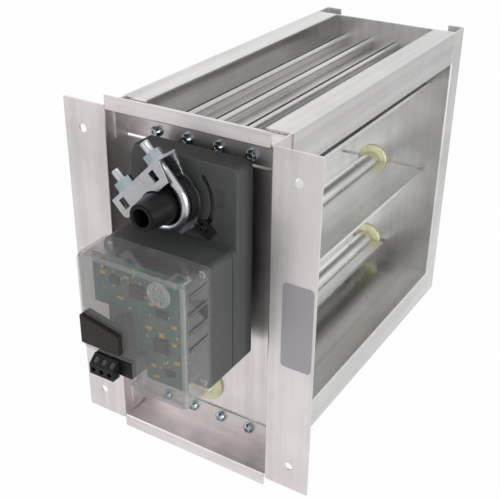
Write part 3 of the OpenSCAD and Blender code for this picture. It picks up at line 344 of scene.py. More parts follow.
def clear_plastic(name, colour, haze, edge):
    """Clear polycarbonate: see-through face on, brighter where it turns away, with faint swirls."""
    f = Finish(name)
    swirl = f.noise((60, 60, 60), 3.0)
    turn = f.facing(0.35)
    alpha = haze + edge * turn ** 1.6 + 0.02 * swirl
    return f.surface(
        colour, 0.06 + 0.10 * swirl, Alpha=alpha, IOR=1.58, Specular_IOR_Level=0.8,
        Normal=f.bump(f.noise((170, 170, 170), 2.0), 0.06, 0.0002),
    )


def solder_mask(name, colour):
    """Green board with copper runs under the mask, and pads."""
    f = Finish(name)
    runs = f.cells((230, 230, 230), feature="DISTANCE_TO_EDGE")
    line = 1.0 - f.step(runs, 0.05, 0.09)
    pads = 1.0 - f.step(f.cells((420, 420, 420)), 0.16, 0.20)
    base = f.blend(line, scaled(colour, 0.9), scaled(colour, 1.5))
    base = f.blend(pads * 0.6, base, (0.55, 0.50, 0.36))
    return f.surface(base, 0.32 - 0.08 * line, Normal=f.bump(line, 0.3, 0.00005))


class Rack:
    """The finishes of the part, made once and kept by name."""

    made = {}

    @classmethod
    def get(cls, name):
        """The finish of that name."""
        if not cls.made:
            c = bpy.context.scene.damper_colours
            for kind, finish, *values in (
                (rolled_sheet, "pan_sheet", c.sheet, 2, 0.38),
                (rolled_sheet, "strip_sheet", c.sheet, 0, 0.42),
                # The far channel's sheet is the blade's colour made darker: painted shade at the back of
                # the duct
                (rolled_sheet, "far_sheet", scaled(c.blade, 0.93), 2, 0.38),
                (rolled_sheet, "blade_sheet", c.blade, 1, 0.26),
                (extruded, "channel_bar", c.channel),
                (extruded, "axle_bar", c.blade),
                (plated, "clamp_zinc", c.zinc, 0.22),
                (plated, "screw_zinc", c.zinc_blue, 0.18),
                (plated, "link_zinc", scaled(c.zinc, 0.8), 0.3),
                (plated, "plain_steel", (0.5, 0.5, 0.49), 0.34),
                (plated, "dark_steel", (0.075, 0.07, 0.068), 0.36),
                (plated, "motor_can", (0.42, 0.42, 0.43), 0.3),
                (plated, "pinion_brass", (0.62, 0.46, 0.20), 0.3),
                (moulded, "housing_grey", c.housing),
                (moulded, "gear_acetal", (0.72, 0.71, 0.64), 0.38, 0.35, 900, 0.00002, 0.2),
                (moulded, "drive_black", c.black, 0.36, 0.18, 1600, 0.00005, 0.3),
                (moulded, "plug_black", c.black, 0.40, 0.2),
                (moulded, "button_brown", c.brown, 0.46, 0.25),
                (nylon, "bearing_nylon", c.nylon),
                (clear_plastic, "cover_clear", c.clear, 0.15, 0.55),
                (clear_plastic, "ring_clear", scaled(c.clear, 2.0), 0.14, 0.95),
                # The rim's clear is the cover's clear made lighter: a painted highlight along the cover's
                # front edges
                (clear_plastic, "rim_clear", scaled(c.clear, 1.7), 0.20, 0.5),
                (solder_mask, "board_green", c.board),
                (moulded, "capacitor_sleeve", (0.03, 0.035, 0.06), 0.3),
                (moulded, "relay_black", (0.02, 0.02, 0.022), 0.35),
                (moulded, "chip_black", (0.015, 0.015, 0.016), 0.42),
                (moulded, "chip_tan", (0.62, 0.36, 0.10), 0.4),
                (moulded, "chip_yellow", (0.85, 0.56, 0.12), 0.36),
                (moulded, "dial_green", (0.10, 0.18, 0.145), 0.4),
                (silver_film, "sticker_film", c.film),
            ):
                cls.made[finish] = kind(finish, *values)
        return cls.made[name]


def add_rounding(piece, width, segments):
    """Adds the modifier that rounds sharp edges."""
    edge = piece.modifiers.new("rounded_edges", "BEVEL")
    edge.limit_method = "ANGLE"
    edge.angle_limit = SHARP
    edge.width = width
    edge.segments = segments
    return edge


def dress(node, finish, width=None, segments=2, merge=True):
    """Gives a CAD node its finish and rounds its sharp edges for the render. Without merge the node
    keeps its triangles: a face with marks and slots in it would fold over itself in one piece."""
    part = PARTS[node]
    material = Rack.get(finish)
    if not part.material_slots:
        part.data.materials.append(material)
    for slot in part.material_slots:
        slot.material = material
    if width:
        joined = part.modifiers.new("joined", "WELD")
        joined.merge_threshold = TOUCH
        if merge:
            merged = part.modifiers.new("merged_faces", "DECIMATE")
            merged.decimate_type = "DISSOLVE"
            merged.angle_limit = FLAT
        edge = add_rounding(part, width, segments)
        edge.use_clamp_overlap = True
        edge.miter_outer = "MITER_ARC"
        even = part.modifiers.new("even_shading", "WEIGHTED_NORMAL")
        even.keep_sharp = False
        even.weight = SHADING_WEIGHT


def settle(piece, body, finish, replaced=()):
    """Puts a new piece on its body with its finish, and hides the CAD nodes that it replaces."""
    piece.data.materials.append(Rack.get(finish))
    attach(piece, body)
    if replaced:
        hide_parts(*replaced)


def mesh_piece(name, build):
    """New object whose mesh a function builds."""
    shell = bmesh.new()
    build(shell)
    data = bpy.data.meshes.new(name)
    shell.to_mesh(data)
    shell.free()
    piece = bpy.data.objects.new(name, data)
    bpy.context.scene.collection.objects.link(piece)
    return piece


def smooth(piece):
    """Shades a new piece as one smooth surface."""
    for face in piece.data.polygons:
        face.use_smooth = True


def round_edges(piece, width, segments=2):
    """Rounds the sharp edges of a new piece."""
    add_rounding(piece, width, segments)
    smooth(piece)
    piece.modifiers.new("even_shading", "WEIGHTED_NORMAL").weight = SHADING_WEIGHT


def millimetres(node):
    """Lowest and highest corner of a CAD node, in millimetres."""
    return tuple(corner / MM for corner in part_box(node))


def bent_sheet(node, finish, folds, edge):
    """Stands for a folded sheet: the given fold lines get their bend radius. A fold is (axis it runs
    along, its two other coordinates on either side of the middle, radius), in millimetres."""

    def build(shell):
        shell.from_mesh(PARTS[node].data)
        bmesh.ops.remove_doubles(shell, verts=shell.verts, dist=TOUCH)
        bmesh.ops.dissolve_limit(
            shell, angle_limit=FLAT, verts=shell.verts, edges=shell.edges, delimit=set()
        )
        for axis, first, second, radius in folds:
            others = [k for k in range(3) if k != axis]
            wanted = [
                line
                for line in shell.edges
                if all(
                    abs(abs(end.co[k]) - value * MM) < 5 * TOUCH
                    for end in line.verts
                    for k, value in zip(others, (first, second))
                )
            ]
            bmesh.ops.bevel(
                shell, geom=wanted, offset=radius * MM, offset_type="OFFSET", segments=4, profile=0.5,
                affect="EDGES",
            )

    piece = mesh_piece(node + "_bent", build)
    round_edges(piece, edge)
    settle(piece, PARTS[node]["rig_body"], finish, (node,))


def skin(shell, loops):
    """Closed tube through rings of points, with flat ends."""
    for one, two in zip(loops, loops[1:]):
        for k in range(len(one)):
            n = (k + 1) % len(one)
            shell.faces.new((one[k], one[n], two[n], two[k]))
    shell.faces.new(loops[0][::-1])
    shell.faces.new(loops[-1])
    bmesh.ops.recalc_face_normals(shell, faces=shell.faces)


def add_box(shell, low, high):
    """Box between two corners, in millimetres."""
    made = bmesh.ops.create_cube(shell, size=1.0)
    for corner in made["verts"]:
        for axis in range(3):
            corner.co[axis] = (low[axis] if corner.co[axis] < 0 else high[axis]) * MM


def add_drum(shell, x, z, rings, sides=40):
    """Turned shape along the casing: rings are (y, radius), in millimetres, and the ends are closed."""
    loops = []
    for y, radius in rings:
        loop = []
        for k in range(sides):
            turn = 2 * math.pi * k / sides
            spot = (x + radius * math.cos(turn), y, z + radius * math.sin(turn))
            loop.append(shell.verts.new(Vector(spot) * MM))
        loops.append(loop)
    skin(shell, loops)


# Operators, one for each group of like pieces
class DAMPER_OT_casing(bpy.types.Operator):
    """Sheet casing: side pan, closing strips and far channel"""

    bl_idname = "damper.casing"
    bl_label = "Sheet casing"

    # Thickness of the sheet, radii of its bends and how far from the middle the strips turn into their
    # front lips, in millimetres
    SHEET, OUTER_BEND, INNER_BEND, LIP_FOLD = 1.3, 1.5, 0.3, 121.3

    def execute(self, context):
        """Dresses the folded sheet."""
        edge = context.scene.damper_sizes.sheet_edge
        sheet, outer, inner = self.SHEET, self.OUTER_BEND, self.INNER_BEND
        leg = millimetres("top_closure")[1].x
        bent_sheet("side_pan", "pan_sheet", ((2, leg, 0.0, outer), (2, leg + sheet, sheet, inner)), edge)
        folds = ((0, 0.0, self.LIP_FOLD, outer), (0, sheet, self.LIP_FOLD + sheet, inner))
        for node in ("top_closure", "bottom_closure"):
            bent_sheet(node, "strip_sheet", folds, edge / 3)
        far = mesh_piece("far_channel_bent", self.build_far)
        round_edges(far, edge)
        settle(far, "casing", "far_sheet", ("far_channel",))
        return {"FINISHED"}

    @classmethod
    def build_far(cls, shell):
        """Folded far side: two lips, two legs and the web, with their bend radii."""
        low, high = millimetres("far_channel")
        sheet, lip, bend, steps = cls.SHEET, 13.7, 1.8, 6
        corners = [
            Vector(spot)
            for spot in (
                (high.x - lip, high.y), (high.x, high.y), (high.x, low.y),
                (low.x, low.y), (low.x, high.y), (low.x + lip, high.y),
            )
        ]
        outer, inner = [], []
        for before, corner, after in zip(corners, corners[1:], corners[2:]):
            arrive, leave = (corner - before).normalized(), (after - corner).normalized()
            if not outer:
                outer.append(before)
                inner.append(before + leave * sheet)
            middle = corner + (leave - arrive) * bend
            for k in range(steps + 1):
                turn = math.pi / 2 * k / steps
                way = arrive * math.sin(turn) - leave * math.cos(turn)
                outer.append(middle + way * bend)
                inner.append(middle + way * (bend - sheet))
        outer.append(corners[-1])
        inner.append(corners[-1] - arrive * sheet)
        rows = [
            [shell.verts.new(Vector((spot.x, spot.y, z)) * MM) for spot in line]
            for line, z in ((outer, low.z), (outer, high.z), (inner, high.z), (inner, low.z))
        ]
        for one, two in zip(rows, rows[1:] + rows[:1]):
            for k in range(len(outer) - 1):
                shell.faces.new((one[k], one[k + 1], two[k + 1], two[k]))
        for k in (0, -1):
            shell.faces.new([row[k] for row in rows])
        bmesh.ops.recalc_face_normals(shell, faces=shell.faces)


class DAMPER_OT_channels(bpy.types.Operator):
    """Extruded channels over and under the blades"""

    bl_idname = "damper.channels"
    bl_label = "Channels"

    def execute(self, context):
        """Dresses the extrusions."""
        edge = context.scene.damper_sizes.sheet_edge
        for node in ("top_channel", "bottom_channel"):
            dress(node, "channel_bar", edge)
        return {"FINISHED"}


class DAMPER_OT_blades(bpy.types.Operator):
    """Blades with their axles"""

    bl_idname = "damper.blades"
    bl_label = "Blades and axles"

    def execute(self, context):
        """Dresses the three blades and their axles."""
        edge = context.scene.damper_sizes.sheet_edge
        for place in ("top", "middle", "bottom"):
            dress("blade_" + place, "blade_sheet", edge)
            dress("axle_" + place, "axle_bar", edge)
        return {"FINISHED"}


class DAMPER_OT_bearings(bpy.types.Operator):
    """Flanged nylon bearings"""

    bl_idname = "damper.bearings"
    bl_label = "Bearings"

    def execute(self, context):
        """Dresses the bearings of both sides."""
        for node in ("near_bearings", "far_bearings"):
            dress(node, "bearing_nylon", 2 * context.scene.damper_sizes.small_edge)
        return {"FINISHED"}


class DAMPER_OT_screws(bpy.types.Operator):
    """Screws of the casing, the blades and the actuator"""

    bl_idname = "damper.screws"
    bl_label = "Screws"

    def execute(self, context):
        """Dresses every group of screws."""
        edge = context.scene.damper_sizes.small_edge
        for node in (
            "near_screws", "far_screws", "blade_screws_top", "blade_screws_middle",
            "blade_screws_bottom", "shell_screws", "mounting_screws",
        ):
            dress(node, "screw_zinc", edge)
        return {"FINISHED"}


class DAMPER_OT_linkage(bpy.types.Operator):
    """Cranks and the bar that joins the blades"""

    bl_idname = "damper.linkage"
    bl_label = "Linkage"

    def execute(self, context):
        """Dresses the linkage in the far channel."""
        edge = context.scene.damper_sizes.small_edge
        for node in ("crank_top", "crank_middle", "crank_bottom"):
            dress(node, "link_zinc", edge)
        dress("link_bar", "link_zinc", edge)
        dress("link_clips", "plain_steel", edge)
        return {"FINISHED"}


class DAMPER_OT_housing(bpy.types.Operator):
    """Moulded housing of the actuator"""

    bl_idname = "damper.housing"
    bl_label = "Housing"

    def execute(self, context):
        """Dresses the rear and middle shells."""
        sizes = context.scene.damper_sizes
        dress("rear_shell", "housing_grey", sizes.casting_edge)
        dress("middle_shell", "housing_grey", sizes.small_edge, merge=False)
        return {"FINISHED"}


class DAMPER_OT_cover(bpy.types.Operator):
    """Clear cover with its window ring"""

    bl_idname = "damper.cover"
    bl_label = "Clear cover"

    # Thickness of the cover's walls and reach of its vent hoods, in millimetres
    WALL, HOOD = 1.8, 1.1

    def execute(self, context):
        """Dresses the clear pieces."""
        edge = context.scene.damper_sizes.small_edge
        dress("clear_cover", "cover_clear", 4 * edge, 3)
        dress("window_ring", "ring_clear", edge)
        for name, finish, build in (
            ("cover_pockets", "ring_clear", self.build_pockets),
            ("cover_rim", "rim_clear", self.build_rim),
        ):
            piece = mesh_piece(name, build)
            round_edges(piece, edge, 1)
            settle(piece, "casing", finish)
        return {"FINISHED"}

    @classmethod
    def build_rim(cls, shell):
        """Thickening inside the cover's front edges: above, at the right, below and at the upper left. Its
        clear is lighter than the cover's, a painted highlight along the rim.
        """
        low, high = millimetres("clear_cover")
        thick, clear, beside = 2.4, 0.03, 3.0
        inner = cls.WALL + clear
        front, left, right = low.y + inner, low.x + inner, high.x - cls.HOOD - inner
        bottom, top = low.z + inner, high.z - inner
        below_from = millimetres("terminal_socket")[1].x + beside
        left_to = millimetres("release_button")[1].z + beside
        for one, two, into in (
            ((left, top), (right, top), (0, -1)),
            ((right, bottom), (right, top), (-1, 0)),
            ((below_from, bottom), (right, bottom), (0, 1)),
            ((left, left_to), (left, top), (1, 0)),
        ):
            ends = []
            for x, z in (one, two):
                side = (x + thick * into[0], front, z + thick * into[1])
                spots = ((x, front, z), (x, front + thick, z), side)
                ends.append([shell.verts.new(Vector(spot) * MM) for spot in spots])
            skin(shell, ends)

    @classmethod
    def build_pockets(cls, shell):
        """Walls of the latch pockets inside the cover, at three of its corners."""
        low, high = millimetres("clear_cover")
        wall, deep, wide, inset = 0.7, 2.0, 9.0, 5.0
        left, right = low.x + inset, high.x - cls.HOOD - inset - wide
        near, far = low.y + inset, low.y + inset + wide
        above, below = high.z - cls.WALL - deep, low.z + cls.WALL
        for x, z in ((left, above), (right, above), (right, below)):
            add_box(shell, (x - wall, near - wall, z), (x, far + wall, z + deep))
            add_box(shell, (x + wide, near - wall, z), (x + wide + wall, far + wall, z + deep))
            add_box(shell, (x, near - wall, z), (x + wide, near, z + deep))
            add_box(shell, (x, far, z), (x + wide, far + wall, z + deep))


class DAMPER_OT_clamp(bpy.types.Operator):
    """Shaft clamp: bracket, U-bolt, nuts, pointer ring and end stop"""

    bl_idname = "damper.clamp"
    bl_label = "Shaft clamp"

    # Height of the drive's middle in millimetres, and the angle at which the clamp leans over it
    AXLE, LEAN = (sum(millimetres("drive_tube"), Vector()) / 2).z, math.radians(45.0)

    def execute(self, context):
        """Dresses the zinc pieces on the shaft and cuts the U-bolt's threads."""
        edge = context.scene.damper_sizes.small_edge
        dress("clamp_bracket", "clamp_zinc", edge)
        piece = mesh_piece("u_bolt_threaded", self.build_u_bolt)
        smooth(piece)
        settle(piece, "drive", "clamp_zinc", ("u_bolt",))
        dress("u_bolt_nuts", "screw_zinc", edge)
        dress("pointer_ring", "clamp_zinc", edge)
        dress("end_stop", "dark_steel", edge)
        return {"FINISHED"}

    @classmethod
    def place(cls, across, along, out):
        """Point of the clamp's own frame in the part's frame, both in millimetres."""
        right = across * math.cos(cls.LEAN) - out * math.sin(cls.LEAN)
        up = across * math.sin(cls.LEAN) + out * math.cos(cls.LEAN)
        return Vector((right, along, cls.AXLE + up))

    @classmethod
    def build_u_bolt(cls, shell):
        """Sweeps the rod round the shaft, with threads on the ends of both legs."""
        pitch = bpy.context.scene.damper_sizes.thread_pitch / MM
        low, high = millimetres("u_bolt")
        rod, along = (high.y - low.y) / 2, (high.y + low.y) / 2
        half, centre, tip, thread_from = 16.5, 1.8, 36.0, 23.4
        depth, sides, arc_steps, pitch_steps = 0.42, 24, 24, 4
        run_in, run_out, chamfer = 0.3, 0.8, 0.6
        leg = [(centre, 0.0), (thread_from - run_in, 0.0)]
        steps = int((tip - run_out - thread_from) / pitch * pitch_steps)
        leg += [(thread_from + k * pitch / pitch_steps, 1.0) for k in range(steps + 1)]
        leg += [(tip - run_out + 0.1, 0.5), (tip, 0.0)]
        path = [(-half, out, (0.0, 1.0), cut) for out, cut in reversed(leg)]
        for k in range(1, arc_steps):
            turn = math.pi * k / arc_steps
            path.append(
                (-half * math.cos(turn), centre - half * math.sin(turn),
                 (-math.sin(turn), math.cos(turn)), 0.0)
            )
        path += [(half, out, (0.0, -1.0), cut) for out, cut in leg]
        loops = []
        for across, out, (way_x, way_z), cut in path:
            loop = []
            for k in range(sides):
                turn = 2 * math.pi * k / sides
                groove = abs((out / pitch + k / sides) % 1.0 - 0.5) * 2
                radius = rod - chamfer if out == tip else rod - depth * cut * groove
                side = radius * math.cos(turn)
                spot = cls.place(across + side * way_z, along + radius * math.sin(turn), out - side * way_x)
                loop.append(shell.verts.new(spot * MM))
            loops.append(loop)
        skin(shell, loops)


class DAMPER_OT_drive(bpy.types.Operator):
    """Black drive tube and hub with their cross pin"""

    bl_idname = "damper.drive"
    bl_label = "Drive tube and hub"

    def execute(self, context):
        """Dresses the turning black pieces."""
        edge = context.scene.damper_sizes.small_edge
        dress("drive_tube", "drive_black", 2 * edge)
        dress("drive_hub", "drive_black", 2 * edge)
        dress("drive_pin", "plain_steel", edge)
        return {"FINISHED"}


class DAMPER_OT_gear_train(bpy.types.Operator):
    """Motor, gears and the plate that carries them"""

    bl_idname = "damper.gear_train"
    bl_label = "Gear train"

    def execute(self, context):
        """Dresses the pieces inside the housing."""
        edge = context.scene.damper_sizes.small_edge
        dress("gear_plate", "plain_steel", edge)
        dress("motor", "motor_can", 2 * edge)
        dress("motor_pinion", "pinion_brass")
        dress("intermediate_gear", "gear_acetal")
        dress("output_sector", "gear_acetal")
        dress("gear_pin", "plain_steel", edge)
        return {"FINISHED"}


class DAMPER_OT_board(bpy.types.Operator):
    """Circuit board with its parts"""

    bl_idname = "damper.board"
    bl_label = "Circuit board"

    def execute(self, context):
        """Dresses the board and builds the parts on both of its sides."""
        edge = context.scene.damper_sizes.small_edge
        dress("circuit_board", "board_green", edge)
        for name, finish, build in (
            ("board_chips_dark", "chip_black", self.build_dark),
            ("board_chips_tan", "chip_tan", self.build_tan),
            ("board_chips_yellow", "chip_yellow", self.build_yellow),
            ("board_relays", "relay_black", self.build_relays),
            ("board_capacitors", "capacitor_sleeve", self.build_capacitors),
            ("board_dial", "dial_green", self.build_dial),
        ):
            piece = mesh_piece(name, build)
            round_edges(piece, self.CHIP_EDGE, 1)
            settle(piece, "casing", finish, ("board_components",))
        return {"FINISHED"}

    # Rounding of the chips' edges, in metres
    CHIP_EDGE = 0.00012
    # The board's place in millimetres: left, lower and front side, width, height and thickness
    BOARD_LOW, BOARD_HIGH = millimetres("circuit_board")
    LEFT, LOW, FACE = BOARD_LOW.x, BOARD_LOW.z, BOARD_LOW.y
    WIDE, HIGH, THICK = BOARD_HIGH.x - LEFT, BOARD_HIGH.z - LOW, BOARD_HIGH.y - FACE
    # Middle of the window and the space kept free round it, in millimetres, and the corner that the
    # button takes up, as shares of the board's width and height
    DIAL = sum(millimetres("window_ring"), Vector()) / 2
    DIAL_CLEAR, CUT_OUT = 7.5, (0.57, 0.58)
    # Thickness of the full-height chips and of the small ones, in millimetres, and the share of the
    # board's width from which a chip is dark
    TALL, SMALL, DARK_FROM = 2.2, 0.6, 0.09
    # Larger chips: left and lower side, width and height as shares of the board's, thickness of TALL
    CHIPS = (
        (0.1, 0.84, 0.05, 0.03, 0.5), (0.2, 0.78, 0.1, 0.07, 0.8), (0.36, 0.86, 0.05, 0.025, 0.5),
        (0.42, 0.72, 0.14, 0.11, 0.9), (0.3, 0.66, 0.04, 0.025, 0.5), (0.62, 0.7, 0.05, 0.03, 0.5),
        (0.7, 0.62, 0.12, 0.06, 0.7), (0.86, 0.56, 0.05, 0.03, 0.6), (0.58, 0.48, 0.06, 0.03, 0.6),
        (0.72, 0.44, 0.05, 0.045, 0.5), (0.86, 0.4, 0.045, 0.03, 0.5), (0.66, 0.3, 0.15, 0.12, 0.9),
        (0.88, 0.24, 0.05, 0.03, 0.5), (0.62, 0.14, 0.05, 0.03, 0.5), (0.78, 0.1, 0.09, 0.05, 0.7),
    )

    @classmethod
    def chips(cls, shell, wanted):
        """The larger chips whose size passes the test."""
        for x, z, wide, high, tall in cls.CHIPS:
            if wanted(wide):
                low = (cls.LEFT + x * cls.WIDE, cls.FACE - cls.TALL * tall, cls.LOW + z * cls.HIGH)
                high_corner = (low[0] + wide * cls.WIDE, cls.FACE, low[2] + high * cls.HIGH)
                add_box(shell, low, high_corner)

    @classmethod
    def sprinkle(cls, shell, seed, share):
        """Small chips at seeded places on the free part of the board."""
        dice = random.Random(seed)
        for _ in range(int(bpy.context.scene.damper_sizes.board_chips * share)):
            x = cls.LEFT + dice.uniform(0.03, 0.94) * cls.WIDE
            z = cls.LOW + dice.uniform(0.03, 0.95) * cls.HIGH
            wide, high = dice.choice(((1.8, 0.9), (0.9, 1.8), (2.4, 1.3), (1.3, 2.4)))
            left_of = x < cls.LEFT + cls.CUT_OUT[0] * cls.WIDE
            cut_out = left_of and z < cls.LOW + cls.CUT_OUT[1] * cls.HIGH
            if cut_out or math.hypot(x - cls.DIAL.x, z - cls.DIAL.z) < cls.DIAL_CLEAR:
                continue
            add_box(shell, (x, cls.FACE - cls.SMALL, z), (x + wide, cls.FACE, z + high))

    @classmethod
    def build_dark(cls, shell):
        """Dark chips."""
        cls.chips(shell, lambda wide: wide >= cls.DARK_FROM)

    @classmethod
    def build_tan(cls, shell):
        """Tan chips."""
        cls.chips(shell, lambda wide: wide < cls.DARK_FROM)
        cls.sprinkle(shell, 11, 0.6)

    @classmethod
    def build_yellow(cls, shell):
        """Yellow chips."""
        cls.sprinkle(shell, 29, 0.4)

    @classmethod
    def build_relays(cls, shell):
        """Two relays behind the board."""
        wide, high, deep, back = 13.0, 17.0, 12.0, cls.FACE + cls.THICK
        for across, up in ((0.22, 0.8), (0.48, 0.8)):
            x, z = cls.LEFT + across * cls.WIDE, cls.LOW + up * cls.HIGH
            low = (x - wide / 2, back, z - high / 2)
            add_box(shell, low, (x + wide / 2, back + deep, z + high / 2))

    @classmethod
    def build_capacitors(cls, shell):
        """Two capacitors behind the board."""
        can = ((0.0, 4.6), (0.6, 5.0), (1.4, 4.8), (2.0, 5.0), (12.4, 5.0), (13.0, 4.5))
        rings = [(cls.FACE + cls.THICK + y, radius) for y, radius in can]
        for across, up in ((0.87, 0.22), (0.87, 0.7)):
            add_drum(shell, cls.LEFT + across * cls.WIDE, cls.LOW + up * cls.HIGH, rings)

    @classmethod
    def build_dial(cls, shell):
        """Setting dial close under the window, with a slot across it."""
        top, x, z = millimetres("board_components")[0].y, cls.DIAL.x, cls.DIAL.z
        stem, head, slot, side, grip, ridge = 4.2, 4.6, 1.2, 6.0, 1.3, 2.6
        rings = ((2.2, stem), (1.9, head), (1.4, head), (1.2, stem))
        add_drum(shell, x, z, [(cls.FACE, stem)] + [(top + down, radius) for down, radius in rings])
        for low in (z - slot / 2 - ridge, z + slot / 2):
            add_box(shell, (x - side / 2, top, low), (x + side / 2, top + grip, low + ridge))


class DAMPER_OT_button(bpy.types.Operator):
    """Release button with its spring"""

    bl_idname = "damper.button"
    bl_label = "Release button"

    # How far the button goes in, in metres
    PRESS = 0.003

    def execute(self, context):
        """Dresses the button and the spring behind it."""
        dress("release_button", "button_brown", 2 * context.scene.damper_sizes.small_edge)
        spring = mesh_piece("release_spring_coil", self.build_spring)
        smooth(spring)
        settle(spring, "casing", "dark_steel", ("release_spring",))
        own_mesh(spring)
        return {"FINISHED"}

    @staticmethod
    def build_spring(shell):
        """Coil of round wire from the button back to its seat."""
        low, high = millimetres("release_spring")
        wire, turns, steps, sides = 0.4, 5, 24, 10
        middle, reach = (low + high) / 2, (high.x - low.x) / 2 - wire
        rows = []
        for k in range(turns * steps + 1):
            turn = 2 * math.pi * k / steps
            out = Vector((math.cos(turn), 0.0, math.sin(turn)))
            along = low.y + wire + (high.y - low.y - 2 * wire) * k / (turns * steps)
            centre = Vector((middle.x, along, middle.z)) + out * reach
            row = []
            for n in range(sides):
                round_wire = 2 * math.pi * n / sides
                way = out * math.cos(round_wire) + Vector((0.0, math.sin(round_wire), 0.0))
                row.append(shell.verts.new((centre + way * wire) * MM))
            rows.append(row)
        skin(shell, rows)


class DAMPER_OT_terminals(bpy.types.Operator):
    """Terminal socket, plug and screws"""

    bl_idname = "damper.terminals"
    bl_label = "Terminals"

    def execute(self, context):
        """Dresses the black connector."""
        edge = context.scene.damper_sizes.small_edge
        dress("terminal_socket", "plug_black", edge)
        dress("terminal_plug", "plug_black", edge)
        dress("terminal_screws", "dark_steel", edge / 2)
        return {"FINISHED"}


class DAMPER_OT_sticker(bpy.types.Operator):
    """Bare silver sticker"""

    bl_idname = "damper.sticker"
    bl_label = "Sticker"

    def execute(self, context):
        """Dresses the sticker on the right flange."""
        dress("sticker", "sticker_film")
        return {"FINISHED"}


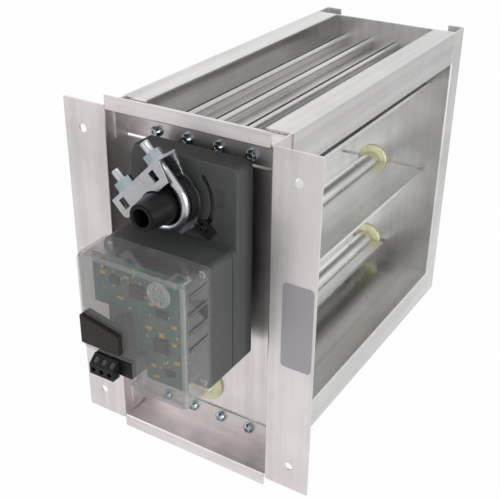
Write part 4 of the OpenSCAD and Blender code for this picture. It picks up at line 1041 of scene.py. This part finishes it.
class DAMPER_OT_stage(bpy.types.Operator):
    """Floor, soft lamps, world and camera"""

    bl_idname = "damper.stage"
    bl_label = "Stage"

    # Floor: its radius and its gap to the part, in metres
    FLOOR, GAP = 6.0, 0.0002
    # How white the floor is to the camera, in glossy pieces, how much more so near its middle, and
    # through clear pieces
    TO_CAMERA, IN_GLOSS, IN_GLOSS_NEAR, THROUGH = 0.975, 0.45, 0.52, 0.8
    # Distances from the floor's middle between which that nearness fades, in metres
    NEAR, FAR = 0.1, 0.75
    # Strength of the world's light, and of the white that the camera, glossy and clear pieces see
    LIGHT, BACKDROP = 0.40, 1.0
    # Name, place and width in metres, and power in watts
    LAMPS = (
        ("lamp_over", (-0.3, 0.5, 1.6), 1.4, 6.0),
        ("lamp_side", (1.6, -0.4, 0.35), 0.9, 20.0),
        ("lamp_left", (-1.2, -1.2, 0.6), 1.0, 5.0),
    )
    # Camera: place in metres, its right, down and forward directions, lens and sensor in millimetres
    PLACE = (0.2984, -0.4108, 0.3148)
    RIGHT = Vector((0.850891, 0.525245, 0.010085))
    DOWN = Vector((0.258732, -0.402282, -0.878195))
    AHEAD = Vector((-0.457211, 0.749858, -0.478196))
    LENS, SENSOR = 64.445, 36.0

    def execute(self, context):
        """Builds what stands round the part."""
        scene = context.scene
        self.add_floor(scene)
        self.add_world(scene)
        middle = sum(CAD_BOX, Vector()) / 2
        for name, place, size, power in self.LAMPS:
            light = bpy.data.lights.new(name, "AREA")
            light.energy, light.shape, light.size = power, "DISK", size
            lamp = bpy.data.objects.new(name, light)
            scene.collection.objects.link(lamp)
            lamp.location = Vector(place)
            lamp.rotation_mode = "QUATERNION"
            lamp.rotation_quaternion = (middle - Vector(place)).to_track_quat("-Z", "Y")
        lens = bpy.data.cameras.new("photo_view")
        lens.sensor_width, lens.lens = self.SENSOR, self.LENS
        lens.clip_start, lens.clip_end = 0.01, 50.0
        camera = bpy.data.objects.new("photo_view", lens)
        scene.collection.objects.link(camera)
        turn = Matrix((self.RIGHT, -self.DOWN, -self.AHEAD)).transposed().to_4x4()
        camera.matrix_world = Matrix.Translation(self.PLACE) @ turn
        scene.camera = camera
        scene.view_settings.view_transform = "Standard"
        return {"FINISHED"}

    @classmethod
    def add_floor(cls, scene):
        """Plain pale floor, near white to the camera, in glossy pieces and through clear ones."""

        def disc(shell):
            bmesh.ops.create_circle(shell, cap_ends=True, segments=96, radius=cls.FLOOR)

        ground = mesh_piece("floor", disc)
        ground.location = (0.0, 0.0, CAD_BOX[0].z - cls.GAP)
        f = Finish("floor_paper")
        path = f.node("ShaderNodeLightPath").outputs
        away = f.node("ShaderNodeVectorMath", {"operation": "LENGTH"}, {0: f.place})
        near = 1.0 - f.step(Wire(f, away.outputs["Value"]), cls.NEAR, cls.FAR)
        seen = cls.TO_CAMERA * Wire(f, path["Is Camera Ray"])
        seen = seen + Wire(f, path["Is Glossy Ray"]) * (cls.IN_GLOSS + cls.IN_GLOSS_NEAR * near)
        seen = seen + cls.THROUGH * Wire(f, path["Is Transmission Ray"])
        paper = f.node("ShaderNodeBsdfDiffuse", sockets={"Color": rgba(scene.damper_colours.floor)})
        glow = f.node("ShaderNodeEmission", sockets={"Color": WHITE, "Strength": cls.BACKDROP})
        both = {0: seen, 1: Wire(f, paper.outputs[0]), 2: Wire(f, glow.outputs[0])}
        mixed = f.node("ShaderNodeMixShader", sockets=both)
        f.node("ShaderNodeOutputMaterial", sockets={"Surface": Wire(f, mixed.outputs[0])})
        ground.data.materials.append(f.material)

    @classmethod
    def add_world(cls, scene):
        """Soft even light, white where the camera, a glossy piece or a clear one sees it."""
        scene.world = bpy.data.worlds.new("studio")
        w = Tree(scene.world)
        path = w.node("ShaderNodeLightPath").outputs
        seen = Wire(w, path["Is Camera Ray"]) + Wire(w, path["Is Glossy Ray"])
        both = {0: seen + Wire(w, path["Is Transmission Ray"])}
        for place, strength in ((1, cls.LIGHT), (2, cls.BACKDROP)):
            made = w.node("ShaderNodeBackground", sockets={"Color": WHITE, "Strength": strength})
            both[place] = Wire(w, made.outputs[0])
        mixed = w.node("ShaderNodeMixShader", sockets=both)
        w.node("ShaderNodeOutputWorld", sockets={"Surface": Wire(w, mixed.outputs[0])})


class DAMPER_PT_panel(bpy.types.Panel):
    """Lists the steps that dress the damper"""

    bl_idname = "DAMPER_PT_panel"
    bl_label = "Duct damper"
    bl_space_type = "VIEW_3D"
    bl_region_type = "UI"
    bl_category = "Damper"

    def draw(self, context):
        """Draws the sizes, the colours and a button for each step."""
        for group in (context.scene.damper_sizes, context.scene.damper_colours):
            for name in group.__annotations__:
                self.layout.prop(group, name)
        for step in STEPS:
            self.layout.operator(step.bl_idname)


STEPS = (
    DAMPER_OT_stage, DAMPER_OT_casing, DAMPER_OT_channels, DAMPER_OT_blades, DAMPER_OT_bearings,
    DAMPER_OT_screws, DAMPER_OT_linkage, DAMPER_OT_housing, DAMPER_OT_cover, DAMPER_OT_clamp,
    DAMPER_OT_drive, DAMPER_OT_gear_train, DAMPER_OT_board, DAMPER_OT_button, DAMPER_OT_terminals,
    DAMPER_OT_sticker,
)
CLASSES = (DamperSizes, DamperColours, *STEPS, DAMPER_PT_panel)


def register():
    """Registers the classes and the scene's settings."""
    for item in CLASSES:
        bpy.utils.register_class(item)
    bpy.types.Scene.damper_sizes = PointerProperty(type=DamperSizes)
    bpy.types.Scene.damper_colours = PointerProperty(type=DamperColours)


def unregister():
    """Removes what register added."""
    del bpy.types.Scene.damper_colours
    del bpy.types.Scene.damper_sizes
    for item in reversed(CLASSES):
        bpy.utils.unregister_class(item)


def main():
    """Dresses the whole part."""
    register()
    for step in STEPS:
        group, name = step.bl_idname.split(".")
        getattr(getattr(bpy.ops, group), name)()


if __name__ == "__main__":
    main()
